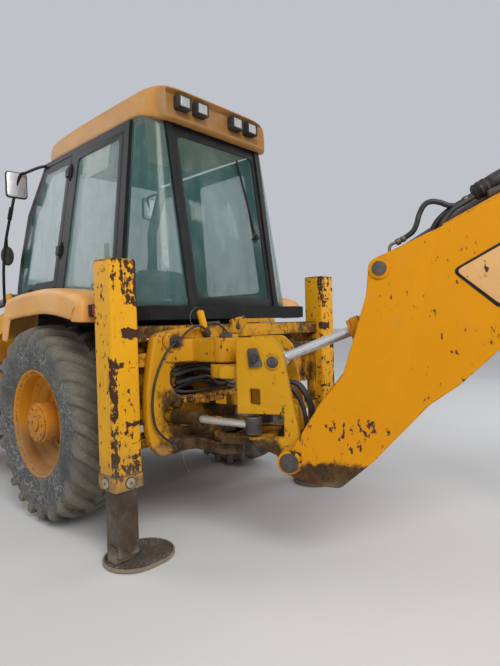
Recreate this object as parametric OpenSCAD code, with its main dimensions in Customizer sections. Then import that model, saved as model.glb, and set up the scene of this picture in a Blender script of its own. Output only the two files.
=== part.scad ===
// Backhoe loader with a side-shifting hoe, in millimetres.
// +X is forward, +Y is the machine's left, +Z is up and the ground is z = 0.
// Lengths along X are written from the rear axle, and at_rear_axle() carries them into the part's frame.

/* [Wheels] */
// Distance between the axles
wheelbase = 2170; // [2120:10:2240]
// Radius of a rear tyre over its lugs
rear_tyre_r = 695; // [690:5:700]
// Width of a rear tyre
rear_tyre_w = 430; // [400:5:436]
// Middle of a rear wheel from the centre line
rear_wheel_y = 880; // [878:1:900]
// Room round a rear wheel
wheel_gap = 4; // [3:0.5:4.5]
// Radius of a rear rim's bead seat
rear_seat_r = 356; // [340:2:370]
// Lugs on each half of a rear tyre
rear_lugs = 24; // [20:1:26]
// Height of a rear lug
rear_lug_h = 38; // [25:1:45]
// Radius of a front tyre over its lugs
front_tyre_r = 482; // [470:2:490]
// Width of a front tyre
front_tyre_w = 308; // [280:4:316]
// Middle of a front wheel from the centre line
front_wheel_y = 900; // [895:5:930]
// Radius of a front rim's bead seat
front_seat_r = 229; // [210:1:240]
// Lugs on each half of a front tyre
front_lugs = 20; // [16:1:22]
// Height of a front lug
front_lug_h = 24; // [15:1:30]
// Kingpin from the centre line
kingpin_y = 690; // [680:5:700]

/* [Frame] */
// Outer face of a main rail from the centre line
rail_y = 380; // [360:5:385]
// Thickness of a main rail
rail_t = 40; // [25:1:50]
// Underside of the main rails
rail_z0 = 600; // [590:5:620]
// Top of the main rails
rail_z1 = 880; // [840:5:900]
// Radius of the bore for the front tow pin
tow_r = 16; // [12:1:18]

/* [Stabilisers] */
// Middle of a stabiliser leg from the centre line
leg_y = 1006; // [1000:1:1010]
// Outside of the square outer tube
leg_tube = 178; // [170:2:182]
// Wall of the outer tube
leg_wall = 14; // [8:1:18]
// Top of the outer tube
leg_top = 1746; // [1700:2:1800]
// Foot of the outer tube
leg_foot = 440; // [420:5:500]
// Outside of the square inner leg
leg_inner = 136; // [120:2:140]

/* [Hoe] */
// Slewing axis behind the rear axle
slew_back = 1360; // [1355:1:1400]
// Slewing axis from the centre line, as parked
slew_y = 500; // [400:10:510]
// Turn of the hoe from straight back, towards the right
slew_turn = 28; // [0:1:40]
// Outer face of the swing post's cheeks from its middle
cheek_o = 180; // [170:2:184]
// Outer face of the boom's side plates from its middle
boom_o = 220; // [214:1:224]
// Half width of the dipper
dipper_o = 85; // [70:1:90]
// Width of the hoe bucket
hoe_bucket_w = 600; // [400:10:620]

/* [Loader] */
// Middle of a loader arm from the centre line
arm_y = 565; // [560:5:570]
// Half thickness of a loader arm
arm_t = 45; // [36:1:46]
// Width of the loader bucket
bucket_w = 2350; // [2200:10:2400]
// Plate of both buckets
bucket_t = 20; // [12:1:25]

/* [Cab] */
// Thickness of the cab's side frames and doors
cab_t = 46; // [30:2:50]
// Thickness of the glass
glass_t = 6; // [5:1:8]
// Running gap round a door
door_gap = 7; // [6:1:10]
// Underside of the roof
roof_z = 2785; // [2780:5:2850]
// Height of the roof moulding
roof_h = 215; // [150:5:240]

/* [Hidden] */
$fn = 48;
clear = 0.6;
seat_gap = 0.3;
bore_gap = 0.8;

// The loader's pins, as [along, height]
arm_pin = [1180, 1560];
lift_base = [1300, 830];
lift_eye = [2400, 1030];
lever_pin = [2780, 1160];
lever_top = [2987, 1526];
tilt_base = [1560, 1660];
bucket_pin = [3330, 330];
bucket_ear = [3300, 650];

// The hoe's pins, as [outwards from the slewing axis, height]
boom_foot = [410, 620];
boom_tip = [2460, 2330];
ram_head = [320, 1150];
ram_foot = [1810, 1720];
dipper_ram_foot = [890, 1625];
dipper_lug_len = 380;
dipper_lug_turn = 62;
dipper_lug = boom_tip + dipper_lug_len * [cos(dipper_lug_turn), sin(dipper_lug_turn)];
hoe_pin = [2460, 800];
hoe_ear = hoe_pin + 240 * [cos(-49), sin(-49)];
tip_lever_pin = [2480, 1130];
tip_lever_end = [2829, 935];
tip_ram_foot = [2650, 2120];

// Slewing rams, as [back from the slewing axis, left of it]
trunnion = [-300, 150];
slew_eye_r = 256;
slew_eye_turn = 38.66;
slew_ram_z = 800;
trunnion_h = 60;

// Front tow pin, ahead of the rear axle
tow_x = 2760;

// The whole object's reach, which sets its middle
lip_x = 4180;
hoe_reach = 2868;
heading = 180 + slew_turn;
cab_top = roof_z - seat_gap;
rear_x = -slew_back + hoe_reach * cos(heading) - 79;
ahead = -(lip_x + rear_x) / 2;

yellow = "goldenrod";
orange = "darkorange";
dark = [0.16, 0.16, 0.17];
steel = [0.62, 0.62, 0.6];
rubber = [0.2, 0.2, 0.2];
pane_colour = [0.35, 0.42, 0.38];

// Frames and helpers

module at_rear_axle() {
    translate([ahead, 0, 0]) children();
}

// The hoe's frame: X runs outwards from the slewing axis, and offsets count towards the machine's left.
module hoe_frame() {
    at_rear_axle() translate([-slew_back, slew_y, 0]) rotate([0, 0, heading]) children();
}

// A plate between two offsets to the left, from an outline of [along, height].
module plate(y0, y1) {
    translate([0, y1, 0]) rotate([90, 0, 0]) linear_extrude(y1 - y0) children();
}

// The same in the hoe's frame, where the left is -Y.
module hoe_plate(o0, o1) {
    translate([0, -o0, 0]) rotate([90, 0, 0]) linear_extrude(o1 - o0) children();
}

// A pin or a bore along Y.
module cross_pin(at, r, y0, y1) {
    translate([at[0], y1, at[1]]) rotate([90, 0, 0]) cylinder(r = r, h = y1 - y0);
}

module disc(at, r) {
    translate(at) circle(r = r);
}

module slab(x0, x1, y0, y1, z0, z1) {
    translate([x0, y0, z0]) cube([x1 - x0, y1 - y0, z1 - z0]);
}

// A block and its mirror image across the centre line.
module both_sides() {
    children();
    mirror([0, 1, 0]) children();
}

// A straight bar between two points, level at its ends, w along X and d along Y.
module bar(a, b, w, d) {
    corners = [[-w / 2, -d / 2, 0], [w / 2, -d / 2, 0], [w / 2, d / 2, 0], [-w / 2, d / 2, 0]];
    polyhedron(
        points = concat([for (c = corners) a + c], [for (c = corners) b + c]),
        faces = [[0, 1, 2, 3], [7, 6, 5, 4], [0, 4, 5, 1], [1, 5, 6, 2], [2, 6, 7, 3], [3, 7, 4, 0]]
    );
}

// A pane between two rows of points, the lower and the upper one, thick along each point's own direction.
module pane(low, high, out) {
    n = len(low);
    back_low = [for (i = [0 : n - 1]) low[i] + out[i]];
    back_high = [for (i = [0 : n - 1]) high[i] + out[i]];
    polyhedron(
        points = concat(low, high, back_high, back_low),
        faces = concat(
            [for (k = [0 : 3], i = [0 : n - 2])
                [k * n + i, k * n + i + 1, ((k + 1) % 4) * n + i + 1]],
            [for (k = [0 : 3], i = [0 : n - 2])
                [k * n + i, ((k + 1) % 4) * n + i + 1, ((k + 1) % 4) * n + i]],
            [[0, n, 2 * n, 3 * n]],
            [[4 * n - 1, 3 * n - 1, 2 * n - 1, n - 1]]
        )
    );
}

// A piece drawn along +X from its pin, turned so that it lies from one pin to another.
module aim(from, to) {
    turn = atan2(to[1] - from[1], to[0] - from[0]);
    translate([from[0], 0, from[1]]) rotate([0, -turn, 0]) children();
}

// A ram's barrel from its eye at the origin, with a bore for its rod from the gland.
module ram_barrel(gland, r, rod_r, depth, eye_r, eye_w, pin_r) {
    difference() {
        union() {
            translate([eye_r * 0.8, 0, 0]) rotate([0, 90, 0]) cylinder(r = r, h = gland - eye_r * 0.8);
            translate([gland - 70, 0, 0]) rotate([0, 90, 0]) cylinder(r = r + 7, h = 50);
            translate([0, eye_w / 2, 0]) rotate([90, 0, 0]) cylinder(r = eye_r, h = eye_w);
        }
        translate([depth, 0, 0]) rotate([0, 90, 0]) cylinder(r = rod_r + bore_gap, h = gland);
        translate([0, eye_w, 0]) rotate([90, 0, 0]) cylinder(r = pin_r + clear, h = 2 * eye_w);
    }
}

// A ram's rod whose eye lies at the given length from the barrel's pin.
module ram_rod(length, rod, rod_r, eye_r, eye_w, pin_r) {
    difference() {
        union() {
            translate([length - rod, 0, 0]) rotate([0, 90, 0]) cylinder(r = rod_r, h = rod - eye_r * 0.6);
            translate([length, eye_w / 2, 0]) rotate([90, 0, 0]) cylinder(r = eye_r, h = eye_w);
        }
        translate([length, eye_w, 0]) rotate([90, 0, 0]) cylinder(r = pin_r + clear, h = 2 * eye_w);
    }
}

function dist(a, b) = norm(b - a);

// A round bar between two points, run on past both by the given length.
module rod(a, b, r, past = 0) {
    d = b - a;
    translate(a) rotate([0, acos(d[2] / norm(d)), atan2(d[1], d[0])])
        translate([0, 0, -past]) cylinder(r = r, h = norm(d) + 2 * past, $fn = 24);
}

// Outline of a flat link between two eyes.
module link_outline(a, ra, b, rb) {
    turn = atan2(b[1] - a[1], b[0] - a[0]);
    tip = acos((ra - rb) / dist(a, b));
    disc(a, ra);
    disc(b, rb);
    polygon([for (e = [[a, ra, tip], [b, rb, tip], [b, rb, -tip], [a, ra, -tip]])
        e[0] + e[1] * 0.985 * [cos(turn + e[2]), sin(turn + e[2])]]);
}

// Places a wheel whose own axis points outwards.
module wheel_place(x, y, z, side) {
    at_rear_axle() translate([x, side * y, z]) rotate([-90 * side, 0, 0]) children();
}

// Half width of a rim at its flanges, as a share of the tyre's width
bead = 0.41;

// Tyre with leaning lugs, as one mesh of rings across the tyre: each ring has four points for a lug, two at
// the foot of its walls and two on its top, and the lugs of one half lie between those of the other.
module tyre(r, w, seat, lugs, lug_h, side) {
    h = r - lug_h - seat;
    pitch = 360 / lugs;
    // Columns: radius between the lugs, radius on a lug, across as a share of the width. The bead's corners
    // stand out a little, so that the flats between them clear the rim.
    rings = [
        [seat + 2.6, seat + 2.6, 0.385], [seat + h * 0.5, seat + h * 0.5, 0.5],
        [seat + h * 0.9, r - lug_h * 0.3, 0.42], [seat + h, r, 0.03]
    ];
    walls = [0.265, 0.335, 0.665, 0.735];
    rows = [
        for (k = [0 : 3]) [rings[k], -1],
        for (k = [3 : -1 : 0]) [rings[k], 1]
    ];
    n = 4 * lugs;
    points = [for (row = rows, i = [0 : n - 1])
        let (
            ring = row[0],
            k = i % 4,
            share = floor(i / 4) + walls[k] + (row[1] < 0 ? 0.5 : 0),
            turn = -side * pitch * (share + 0.95 * 2 * ring[2]),
            radius = k == 1 || k == 2 ? ring[1] : ring[0]
        )
        [radius * cos(turn), radius * sin(turn), row[1] * ring[2] * w]
    ];
    polyhedron(
        points = points,
        faces = [for (j = [0 : 7], i = [0 : n - 1], half = [0, 1])
            let (
                a = j * n + i,
                b = j * n + (i + 1) % n,
                c = ((j + 1) % 8) * n + (i + 1) % n,
                d = ((j + 1) % 8) * n + i,
                corners = half == 0 ? [a, b, c] : [a, c, d]
            )
            side > 0 ? corners : [corners[2], corners[1], corners[0]]
        ]
    );
}

// Rear wheel: rim, dished disc and hub
module rear_rim(side) {
    half = rear_tyre_w * bead + 13;
    s = rear_seat_r - clear;
    inner_w = rear_wheel_y - 665;
    color(yellow) wheel_place(0, rear_wheel_y, rear_tyre_r, side) {
        rotate_extrude() polygon([
            [s + 27, half], [s + 27, half - 12], [s, half - 16], [s, half * 0.35], [s - 36, half * 0.25],
            [s - 36, -half * 0.25], [s, -half * 0.35], [s, -half + 16], [s + 27, -half + 12],
            [s + 27, -half], [s + 18, -half], [s - 12, -half + 26], [s - 12, -half * 0.42],
            [s - 50, -half * 0.3], [s - 50, half * 0.12], [s - 90, half * 0.02], [s - 110, -28],
            [138, -28], [138, -12], [s - 120, -12], [s - 100, half * 0.12], [s - 56, half * 0.22],
            [s - 50, half * 0.3], [s - 12, half * 0.42], [s - 12, half - 26], [s + 18, half]
        ]);
        difference() {
            rotate_extrude() polygon([
                [0, 96], [52, 96], [120, 84], [128, 40], [140, 34], [140, -inner_w + 60],
                [165, -inner_w + 40], [165, -inner_w], [0, -inner_w]
            ]);
            translate([0, 0, -inner_w - 1]) cylinder(r = 45 + clear, h = inner_w - 59);
        }
    }
}

module front_rim(side) {
    half = front_tyre_w * bead + 11;
    s = front_seat_r - clear;
    color("ghostwhite") wheel_place(wheelbase, front_wheel_y, front_tyre_r, side) difference() {
        union() {
            rotate_extrude() polygon([
                [s + 22, half], [s + 22, half - 10], [s, half - 14], [s, -half + 14], [s + 22, -half + 10],
                [s + 22, -half], [s + 14, -half], [s - 12, -half + 22], [s - 12, -half * 0.1],
                [s - 40, 4], [70, 4], [70, 20], [s - 44, 20], [s - 12, half * 0.2],
                [s - 12, half - 22], [s + 14, half]
            ]);
            rotate_extrude() polygon([
                [0, 62], [40, 62], [64, 54], [72, 24], [72, -90], [0, -90]
            ]);
        }
        translate([0, 0, -91]) cylinder(r = 35 + clear, h = 113);
    }
}

module chassis() {
    between = rail_y - rail_t - seat_gap;
    beside = rail_y + seat_gap;
    color(yellow) at_rear_axle() {
        // Main rails
        difference() {
            both_sides() slab(-640, 2650 - seat_gap, rail_y - rail_t, rail_y, rail_z0, rail_z1);
            cross_pin([0, rear_tyre_r], 100 + clear, -rail_y - 1, rail_y + 1);
        }
        // Cross members between the rails
        for (x = [-640, 2480]) slab(x, x + 60, -between, between, rail_z0 + 20, rail_z1 - 60);
        // Front bumper with its tow pin bore
        difference() {
            slab(2650, 2800, -rail_y, rail_y, rail_z0 - 40, rail_z1);
            slab(2720, 2810, -120, 120, rail_z0 + 60, rail_z0 + 160);
            translate([tow_x, 0, rail_z0 - 50]) cylinder(r = tow_r, h = rail_z1 - rail_z0 + 100);
        }
        // Cradle of the front axle
        difference() {
            for (x = [wheelbase - 120, wheelbase + 80]) {
                slab(x, x + 40, -between, between, rail_z0 - 30, rail_z0 + 40);
                slab(x, x + 40, -140, 140, 418, rail_z0);
            }
            translate([wheelbase - 200, 0, 500]) rotate([0, 90, 0]) cylinder(r = 40 + clear, h = 400);
        }
        // Loader towers with the arm pivots and the lift rams' feet
        both_sides() {
            for (y = [arm_y - arm_t - 55, arm_y + arm_t + 15]) plate(y, y + 40) polygon([
                [1020, 640], [1420, 640], [1420, 830], [1330, 1100], [1285, 1600], [1240, 1650],
                [1120, 1650], [1075, 1600], [1060, 1100], [1020, 900]
            ]);
            slab(1020, 1420, beside, arm_y + arm_t + 55, rail_z0 + 10, 660);
            cross_pin(arm_pin, 38, arm_y - arm_t - 60, arm_y + arm_t + 60);
            cross_pin(lift_base, 25, arm_y - arm_t - 60, arm_y + arm_t + 60);
        }
        // Carriers between the rails and the rear frame
        both_sides() {
            slab(-919.7, -640, rail_y - rail_t, rail_y, 1120, 1205);
            slab(-665, -625 - seat_gap, rail_y - rail_t, rail_y, rail_z1 + seat_gap, 1205);
            slab(-939.7, -640 - seat_gap, rail_y - rail_t, rail_y, 640, 700);
        }
    }
}

// Stabiliser tubes and the rails that the hoe's carriage slides on
module rear_frame() {
    t = leg_tube / 2;
    w = leg_inner / 2 + 4;
    x0 = -984;
    color(yellow) at_rear_axle() {
        both_sides() translate([x0, leg_y, 0]) {
            difference() {
                union() {
                    slab(-t, t, -t, t, leg_foot + 90, leg_top);
                    slab(-t - 8, t + 8, -t - 8, t + 8, leg_foot, leg_foot + 90);
                }
                slab(-w, w, -w, w, leg_foot - 1, leg_top - 12);
            }
            // Wear pads through the collar, on all four sides
            for (turn = [0 : 90 : 270]) rotate([0, 0, turn]) translate([leg_inner / 2 + 0.4, 0, leg_foot + 45])
                rotate([0, 90, 0]) cylinder(r = 30, h = t + 18 - leg_inner / 2);
        }
        in_y = leg_y - t;
        slab(-1020, -940, -in_y, in_y, 1270, 1364);
        slab(-1020, -940, -in_y, in_y, 1120, 1205);
        slab(-1020, -940, -in_y, in_y, 640, 700);
        slab(-940, -920, -in_y, in_y, 1100, 1364);
        both_sides() {
            slab(-1000, -930, in_y - 30, in_y, 700, 1120);
            slab(-1000, -940, in_y - 30, in_y, 1205, 1270);
        }
    }
}

module rear_axle() {
    color(dark) at_rear_axle() translate([0, 0, rear_tyre_r]) {
        rotate([90, 0, 0]) {
            translate([0, 0, -640]) cylinder(r = 100, h = 1280);
            translate([0, 0, -120]) cylinder(r = 190, h = 240);
            for (z = [-655, 475]) translate([0, 0, z]) cylinder(r = 160, h = 180);
            translate([0, 0, -655]) cylinder(r = 80, h = 1310);
            translate([0, 0, -800]) cylinder(r = 45, h = 1600);
        }
        rotate([0, 90, 0]) cylinder(r = 95, h = 260);
    }
}

module front_axle() {
    z = front_tyre_r;
    color(dark) at_rear_axle() translate([wheelbase, 0, 0]) {
        difference() {
            union() {
                slab(-55, 55, -620, 620, z - 55, z + 55);
                both_sides() {
                    slab(-55, 55, 560, 640, z - 120, z + 120);
                    slab(-50, 50, 560, kingpin_y + 45, z - 120, z - 85);
                    slab(-50, 50, 560, kingpin_y + 45, z + 85, z + 120);
                }
                translate([-70, 0, 500]) rotate([0, 90, 0]) cylinder(r = 70, h = 140);
                translate([-135, 0, 500]) rotate([0, 90, 0]) cylinder(r = 40, h = 270);
            }
            // Eyes for tying the machine down
            both_sides() translate([0, 480, z - 60]) cylinder(r = 14, h = 120);
        }
        both_sides() translate([0, kingpin_y, z - 128]) cylinder(r = 22, h = 256);
        // Steering cylinder
        translate([-165, 0, z]) rotate([90, 0, 0]) translate([0, 0, -260]) cylinder(r = 34, h = 520);
        both_sides() slab(-160, -50, 200, 240, z - 25, z + 25);
    }
}

module knuckle(side) {
    z = front_tyre_r;
    color(dark) at_rear_axle() translate([wheelbase, side * kingpin_y, 0]) difference() {
        union() {
            translate([0, 0, z - 79]) cylinder(r = 46, h = 158);
            translate([0, 0, z]) rotate([-90 * side, 0, 0]) cylinder(r = 60, h = 100);
            translate([0, 0, z]) rotate([-90 * side, 0, 0]) cylinder(r = 35, h = front_wheel_y - kingpin_y + 20);
            slab(-190, 0, side * 20 - 18, side * 20 + 18, z - 60, z - 30);
        }
        translate([0, 0, z - 130]) cylinder(r = 22 + clear, h = 260);
        translate([-165, side * 20, z - 70]) cylinder(r = 10, h = 60);
    }
}

// Engine, gearbox and shafts, as plain blocks at their real place
module engine() {
    color(dark) at_rear_axle() {
        mount_y = rail_y - rail_t - seat_gap;
        slab(1470, 2300, -270, 270, 660, 1240);
        slab(760, 1470, -230, 230, 640, 960);
        for (x = [860, 1560, 2140]) slab(x, x + 90, -mount_y, mount_y, 690, 750);
        translate([260 + seat_gap, 0, rear_tyre_r + 2]) rotate([0, 90, 0]) cylinder(r = 60, h = 140);
        translate([380, 0, rear_tyre_r + 2]) rotate([0, 90, 0]) cylinder(r = 45, h = 381);
    }
}

// Fixed front cowl with its grille and head lamps, and the radiator behind
module nose() {
    color(yellow) at_rear_axle() {
        difference() {
            plate(-rail_y, rail_y) polygon([
                [2530, rail_z1 + seat_gap], [2790, rail_z1 + seat_gap], [2790, 1300], [2770, 1330],
                [2640, 1330], [2530, 985]
            ]);
            slab(2500, 2760, -rail_y + 20, rail_y - 20, rail_z1 + 20, 1310);
            for (k = [0 : 8]) slab(2750, 2800, -250, 250, 940 + k * 38, 962 + k * 38);
            both_sides() translate([2740, 315, 1210]) rotate([0, 90, 0]) cylinder(r = 45, h = 60);
        }
    }
    color(dark) at_rear_axle() slab(2420, 2500, -345, 345, rail_z1 + seat_gap, 1300);
}

module bonnet() {
    wall = 14;
    ear_y = hinge_y + 30 + seat_gap;
    inner = [[1085, 900], [2636, 900], [2636, 1310], [2400, 1420], [1085, 1586]];
    color(yellow) at_rear_axle() difference() {
        plate(-390, 390) polygon([[1100, 985], [2510, 985], [2630, 1330], [2400, 1436], [1100, 1600]]);
        plate(-390 + wall, 390 - wall) polygon(inner);
        // Air slots in both sides
        for (k = [0 : 5]) slab(1500 + k * 70, 1535 + k * 70, -400, 400, 1120, 1300);
    }
    // Hinge ears
    color(yellow) at_rear_axle() both_sides() plate(ear_y, ear_y + 25) difference() {
        union() {
            disc(bonnet_hinge, 24);
            polygon([[1062, 1608], [1110, 1570], [1200, 1560], [1196, 1588], [1130, 1604], [1094, 1643]]);
        }
        disc(bonnet_hinge, 12 + clear);
    }
}

// The bonnet's hinge, as [along, height], and the middle of each of its lugs
bonnet_hinge = [1078, 1625];
hinge_y = 180;

// Slope of the cab's sides, whose outer face goes through this point
cab_lean = 7.2;
cab_base = [806, 1200];

// The cab side's outer and inner faces at a height.
function side_out(z) = cab_base[0] - (z - cab_base[1]) * tan(cab_lean);
function side_in(z) = side_out(z) - cab_t / cos(cab_lean);

// A cab side's leaning outer face: X is along, Y is the height above the face's foot and Z goes into the cab.
module cab_face(side) {
    at_rear_axle() mirror([0, (1 - side) / 2, 0]) translate([0, cab_base[0], cab_base[1]])
        rotate([90 + cab_lean, 0, 0]) children();
}

// Maps an outline of [along, height] onto that face, as thick as asked.
module cab_side(side, t) {
    cab_face(side) linear_extrude(t) translate([0, -cab_base[1]]) children();
}

// The door hinges' pins lie just outside that face, behind the door's rear edge.
hinge_heights = [1980, 2600];
hinge_half = 36;
function on_hinge_line(h) = [288 - (h - 1690) * 90 / 1045, h - cab_base[1], -2.5];

module hinge_rod(h, half, r) {
    rod(on_hinge_line(h - half), on_hinge_line(h + half), r);
}

// The door's outline, pushed outwards by g.
function door_outline(g) = [
    [305 - g, 1690 - g], [215 - g, 2735 + g], [668 + g, 2735 + g], [915 + g, 2360 + g],
    [985 + g, 1980], [1000 + g, 1760], [975 + g, 1230 - g], [706 - g, 1230 - g],
    [706 - g, 1620 - g], [640 - g, 1690 - g]
];

module cab_frame() {
    color(dark) {
        for (side = [-1, 1]) cab_face(side) {
            difference() {
                linear_extrude(cab_t) translate([0, -cab_base[1]]) cab_side_outline();
                for (h = hinge_heights) hinge_rod(h, hinge_half + 6, 27);
            }
            for (h = hinge_heights) hinge_rod(h, hinge_half + 30, 9);
        }
        at_rear_axle() {
            // Rear window frame
            both_sides() bar([-965, 425, 1480], [-775, 440, cab_top], 40, 50);
            slab(-985, -640, -770, 770, 1400, 1490 - seat_gap);
            slab(-800, -740, -430, 430, 2735, cab_top);
            // Head rails under the roof
            slab(630, 680, -570, 570, 2738, cab_top);
        }
    }
}

module cab_side_outline() {
    difference() {
        polygon([
            [-640, 1490], [-590, cab_top], [690, cab_top], [965, 2380], [1034, 1990], [1048, 1760],
            [1030, 1170], [650, 1170], [650, 1490]
        ]);
        polygon(door_outline(door_gap));
        polygon([[-560, 1590], [-525, 2720], [130, 2720], [215, 1590]]);
    }
}

// Floor, foot wells, the inner sides between the wheels and the front wall
// Room of a rear wheel, which the floor and its side shelves leave free
module rear_wheel_room() {
    both_sides() translate([0, rear_wheel_y, rear_tyre_r]) rotate([90, 0, 0])
        cylinder(r = rear_tyre_r + wheel_gap, h = rear_tyre_w + 10 * wheel_gap, center = true);
}

module cab_floor() {
    color(dark) at_rear_axle() difference() {
        cab_tub();
        rear_wheel_room();
    }
}

module cab_tub() {
    slab(-600, 1015, -600, 600, 1010, 1040);
    both_sides() {
        slab(-600, 1015, 600, 625, 1010, 1399.7);
        slab(-639.7, 649.7, 600, 812 - seat_gap, 1399.7, 1440);
        slab(706, 1015, 625, 700, 1010, 1040);
    }
    slab(-625, -600, -625, 625, 1010, 1399.7);
    // Front wall, as wide as the leaning sides leave
    translate([1015, 0, 0]) rotate([90, 0, 90]) linear_extrude(20) polygon([
        [-side_in(1010) + seat_gap, 1010], [side_in(1010) - seat_gap, 1010],
        [side_in(1760) - seat_gap, 1760], [-side_in(1760) + seat_gap, 1760]
    ]);
    // Lugs and pin of the bonnet's hinge
    both_sides() {
        plate(hinge_y, hinge_y + 30) polygon([
            [1035, 1560], [1035, 1680], [1060, 1660], [1102, 1640], [1102, 1610], [1060, 1580]
        ]);
        cross_pin(bonnet_hinge, 12, hinge_y, hinge_y + 60);
    }
}

module cab_roof() {
    color(orange) at_rear_axle() difference() {
        hull() {
            for (x = [-750, 700], y = [-490, 490]) translate([x, y, roof_z]) cylinder(r = 90, h = 120, $fn = 32);
            for (x = [-700, 560], y = [-430, 430]) translate([x, y, roof_z]) cylinder(r = 110, h = roof_h, $fn = 32);
        }
        // Recess of the rear work lamps
        slab(-900, -800, -480, 480, roof_z + 14, roof_z + 96);
    }
}

module cab_windows() {
    g = glass_t;
    color(pane_colour) {
        for (side = [-1, 1]) cab_side(side, g) difference() {
            polygon([[-559, 1591], [-524, 2719], [129, 2719], [214, 1591]]);
        }
        at_rear_axle() {
            // Windscreen, lower and upper
            for (row = [[1030, 1760 + seat_gap, 955, 2374], [955, 2376, 692, cab_top]]) {
                low = side_in(row[1]) - 0.6;
                high = side_in(row[3]) - 0.6;
                pane(
                    [[row[0], -low, row[1]], [row[0], low, row[1]]],
                    [[row[2], -high, row[3]], [row[2], high, row[3]]],
                    [[g, 0, 0], [g, 0, 0]]
                );
            }
            // Rear window and the curved panes beside it
            pane([[-963, 399, 1490], [-963, -399, 1490]], [[-781, 413, 2734], [-781, -413, 2734]], [[-g, 0, 0], [-g, 0, 0]]);
            steps = 6;
            both_sides() pane(
                [for (i = [steps : -1 : 0]) [-965 + 324 * (1 - cos(i * 90 / steps)), 451 + 290 * sin(i * 90 / steps), 1490]],
                [for (i = [steps : -1 : 0]) [-775 + 183 * (1 - cos(i * 90 / steps)), 467 + 115 * sin(i * 90 / steps), cab_top]],
                [for (i = [steps : -1 : 0]) [-g * cos(i * 90 / steps), g * sin(i * 90 / steps), 0]]
            );
        }
    }
}

module seat() {
    color(dark) at_rear_axle() {
        slab(-60, 300, -170, 170, 1040.3, 1200);
        slab(-100, 360, -240, 240, 1200, 1320);
        plate(-230, 230) polygon([[-130, 1320], [-20, 1320], [-90, 1900], [-180, 1900]]);
        both_sides() slab(-60, 260, 262, 320, 1440, 1490);
        both_sides() slab(-60, -20, 222, 262, 1320, 1490);
    }
}

module controls() {
    color(dark) at_rear_axle() {
        // Steering column and wheel
        slab(700, 860, -90, 90, 1040.3, 1560);
        translate([705, 0, 1700]) rotate([0, -28, 0]) {
            rotate_extrude() translate([190, 0]) circle(r = 13);
            translate([0, 0, -180]) cylinder(r = 18, h = 172);
            translate([0, 0, -16]) cylinder(r = 34, h = 30);
            for (k = [0 : 2]) rotate([0, 0, 120 * k + 40]) translate([25, -12, -6]) cube([162, 24, 11]);
        }
        // Hoe console with its levers
        slab(-560, -330, -220, 220, 1040.3, 1420);
        for (y = [-165, -55, 55, 165]) translate([-440, y, 1420]) cylinder(r = 8, h = 180);
        for (y = [-165, -55, 55, 165]) translate([-440, y, 1590]) sphere(r = 22);
        // Loader lever
        slab(150, 420, -420, -330, 1040.3, 1350);
        translate([300, -375, 1350]) cylinder(r = 8, h = 160);
    }
}

module door(side) {
    color(dark) {
        cab_side(side, cab_t) difference() {
            polygon(door_outline(0));
            polygon([
                [352, 1745], [270, 2680], [642, 2680], [868, 2335], [936, 1970], [950, 1758],
                [930, 1285], [762, 1285], [762, 1660], [680, 1745]
            ]);
        }
        // Hinge leaves round the pins
        cab_face(side) for (h = hinge_heights) difference() {
            union() {
                hinge_rod(h, hinge_half, 20);
                translate(on_hinge_line(h) + [0, -hinge_half, -16]) cube([54, 2 * hinge_half, 18]);
            }
            hinge_rod(h, hinge_half + 9, 9 + clear);
        }
    }
}

module door_glass(side) {
    color(pane_colour) cab_side(side, glass_t) polygon([
        [353, 1746], [271, 2679], [641, 2679], [867, 2334], [935, 1970], [949, 1758],
        [929, 1286], [763, 1286], [763, 1661], [681, 1746]
    ]);
}

module fenders() {
    color(orange) at_rear_axle() both_sides() {
        plate(812, 1090) polygon([
            [-735, 1400], [-735, 1500], [-690, 1560], [-270, 1634], [300, 1612], [440, 1590], [500, 1480],
            [530, 1280], [512, 1280], [480, 1460], [430, 1562], [300, 1585], [-270, 1606], [-680, 1535],
            [-712, 1490], [-712, 1400]
        ]);
        for (y = [812, 1072]) plate(y, y + 18) polygon([
            [-712, 1405], [-712, 1500], [-680, 1540], [-270, 1608], [300, 1588], [432, 1566], [490, 1465],
            [515, 1300], [420, 1405]
        ]);
    }
}

module tanks_and_steps() {
    color(dark) at_rear_axle() both_sides() {
        slab(765, 1010, rail_y + seat_gap, 860, 500, 1000);
        for (z = [420, 700]) slab(780, 1000, 860, 985, z, z + 35);
        slab(780, 800, 860, 880, 420, 735);
        slab(980, 1000, 860, 880, 420, 735);
    }
}

module exhaust() {
    color(dark) at_rear_axle() {
        difference() {
            union() {
                translate([1500, -436, 840]) cylinder(r = 32, h = 1460);
                translate([1500, -436, 900]) cylinder(r = 40, h = 640);
                slab(1480, 1520, -430, -rail_y - seat_gap, 845, 870);
            }
            translate([1500, -436, 1640]) cylinder(r = 27, h = 700);
        }
    }
}

module mirrors() {
    color(dark) at_rear_axle() both_sides() {
        route = [
            [650, side_out(2740) + 14, 2740], [1020, 660, 2750], [1120, 815, 2050], [1120, 830, 1570],
            [1064, 742, 1570]
        ];
        for (i = [0 : len(route) - 2]) rod(route[i], route[i + 1], i % 2 == 0 ? 13 : 14, i == 0 ? 6 : 9);
        slab(1040, 1085, 615, 805, 2530, 2770);
        slab(1105, 1175, 725, 835, 1930, 2110);
    }
}

module lamps() {
    color("lightgrey") at_rear_axle() {
        for (y = [-400, -290, 290, 400]) slab(-834, -800 - seat_gap, y - 42, y + 42, roof_z + 19, roof_z + 91);
        for (y = [-400, 400]) slab(790 + seat_gap, 850, y - 60, y + 60, roof_z + 7, roof_z + 83);
        both_sides() slab(-780, -735.3, 900, 1040, 1430, 1500);
    }
}

module rear_tyre(side) {
    color(rubber) wheel_place(0, rear_wheel_y, rear_tyre_r, side)
        tyre(rear_tyre_r, rear_tyre_w, rear_seat_r, rear_lugs, rear_lug_h, side);
}

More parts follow.
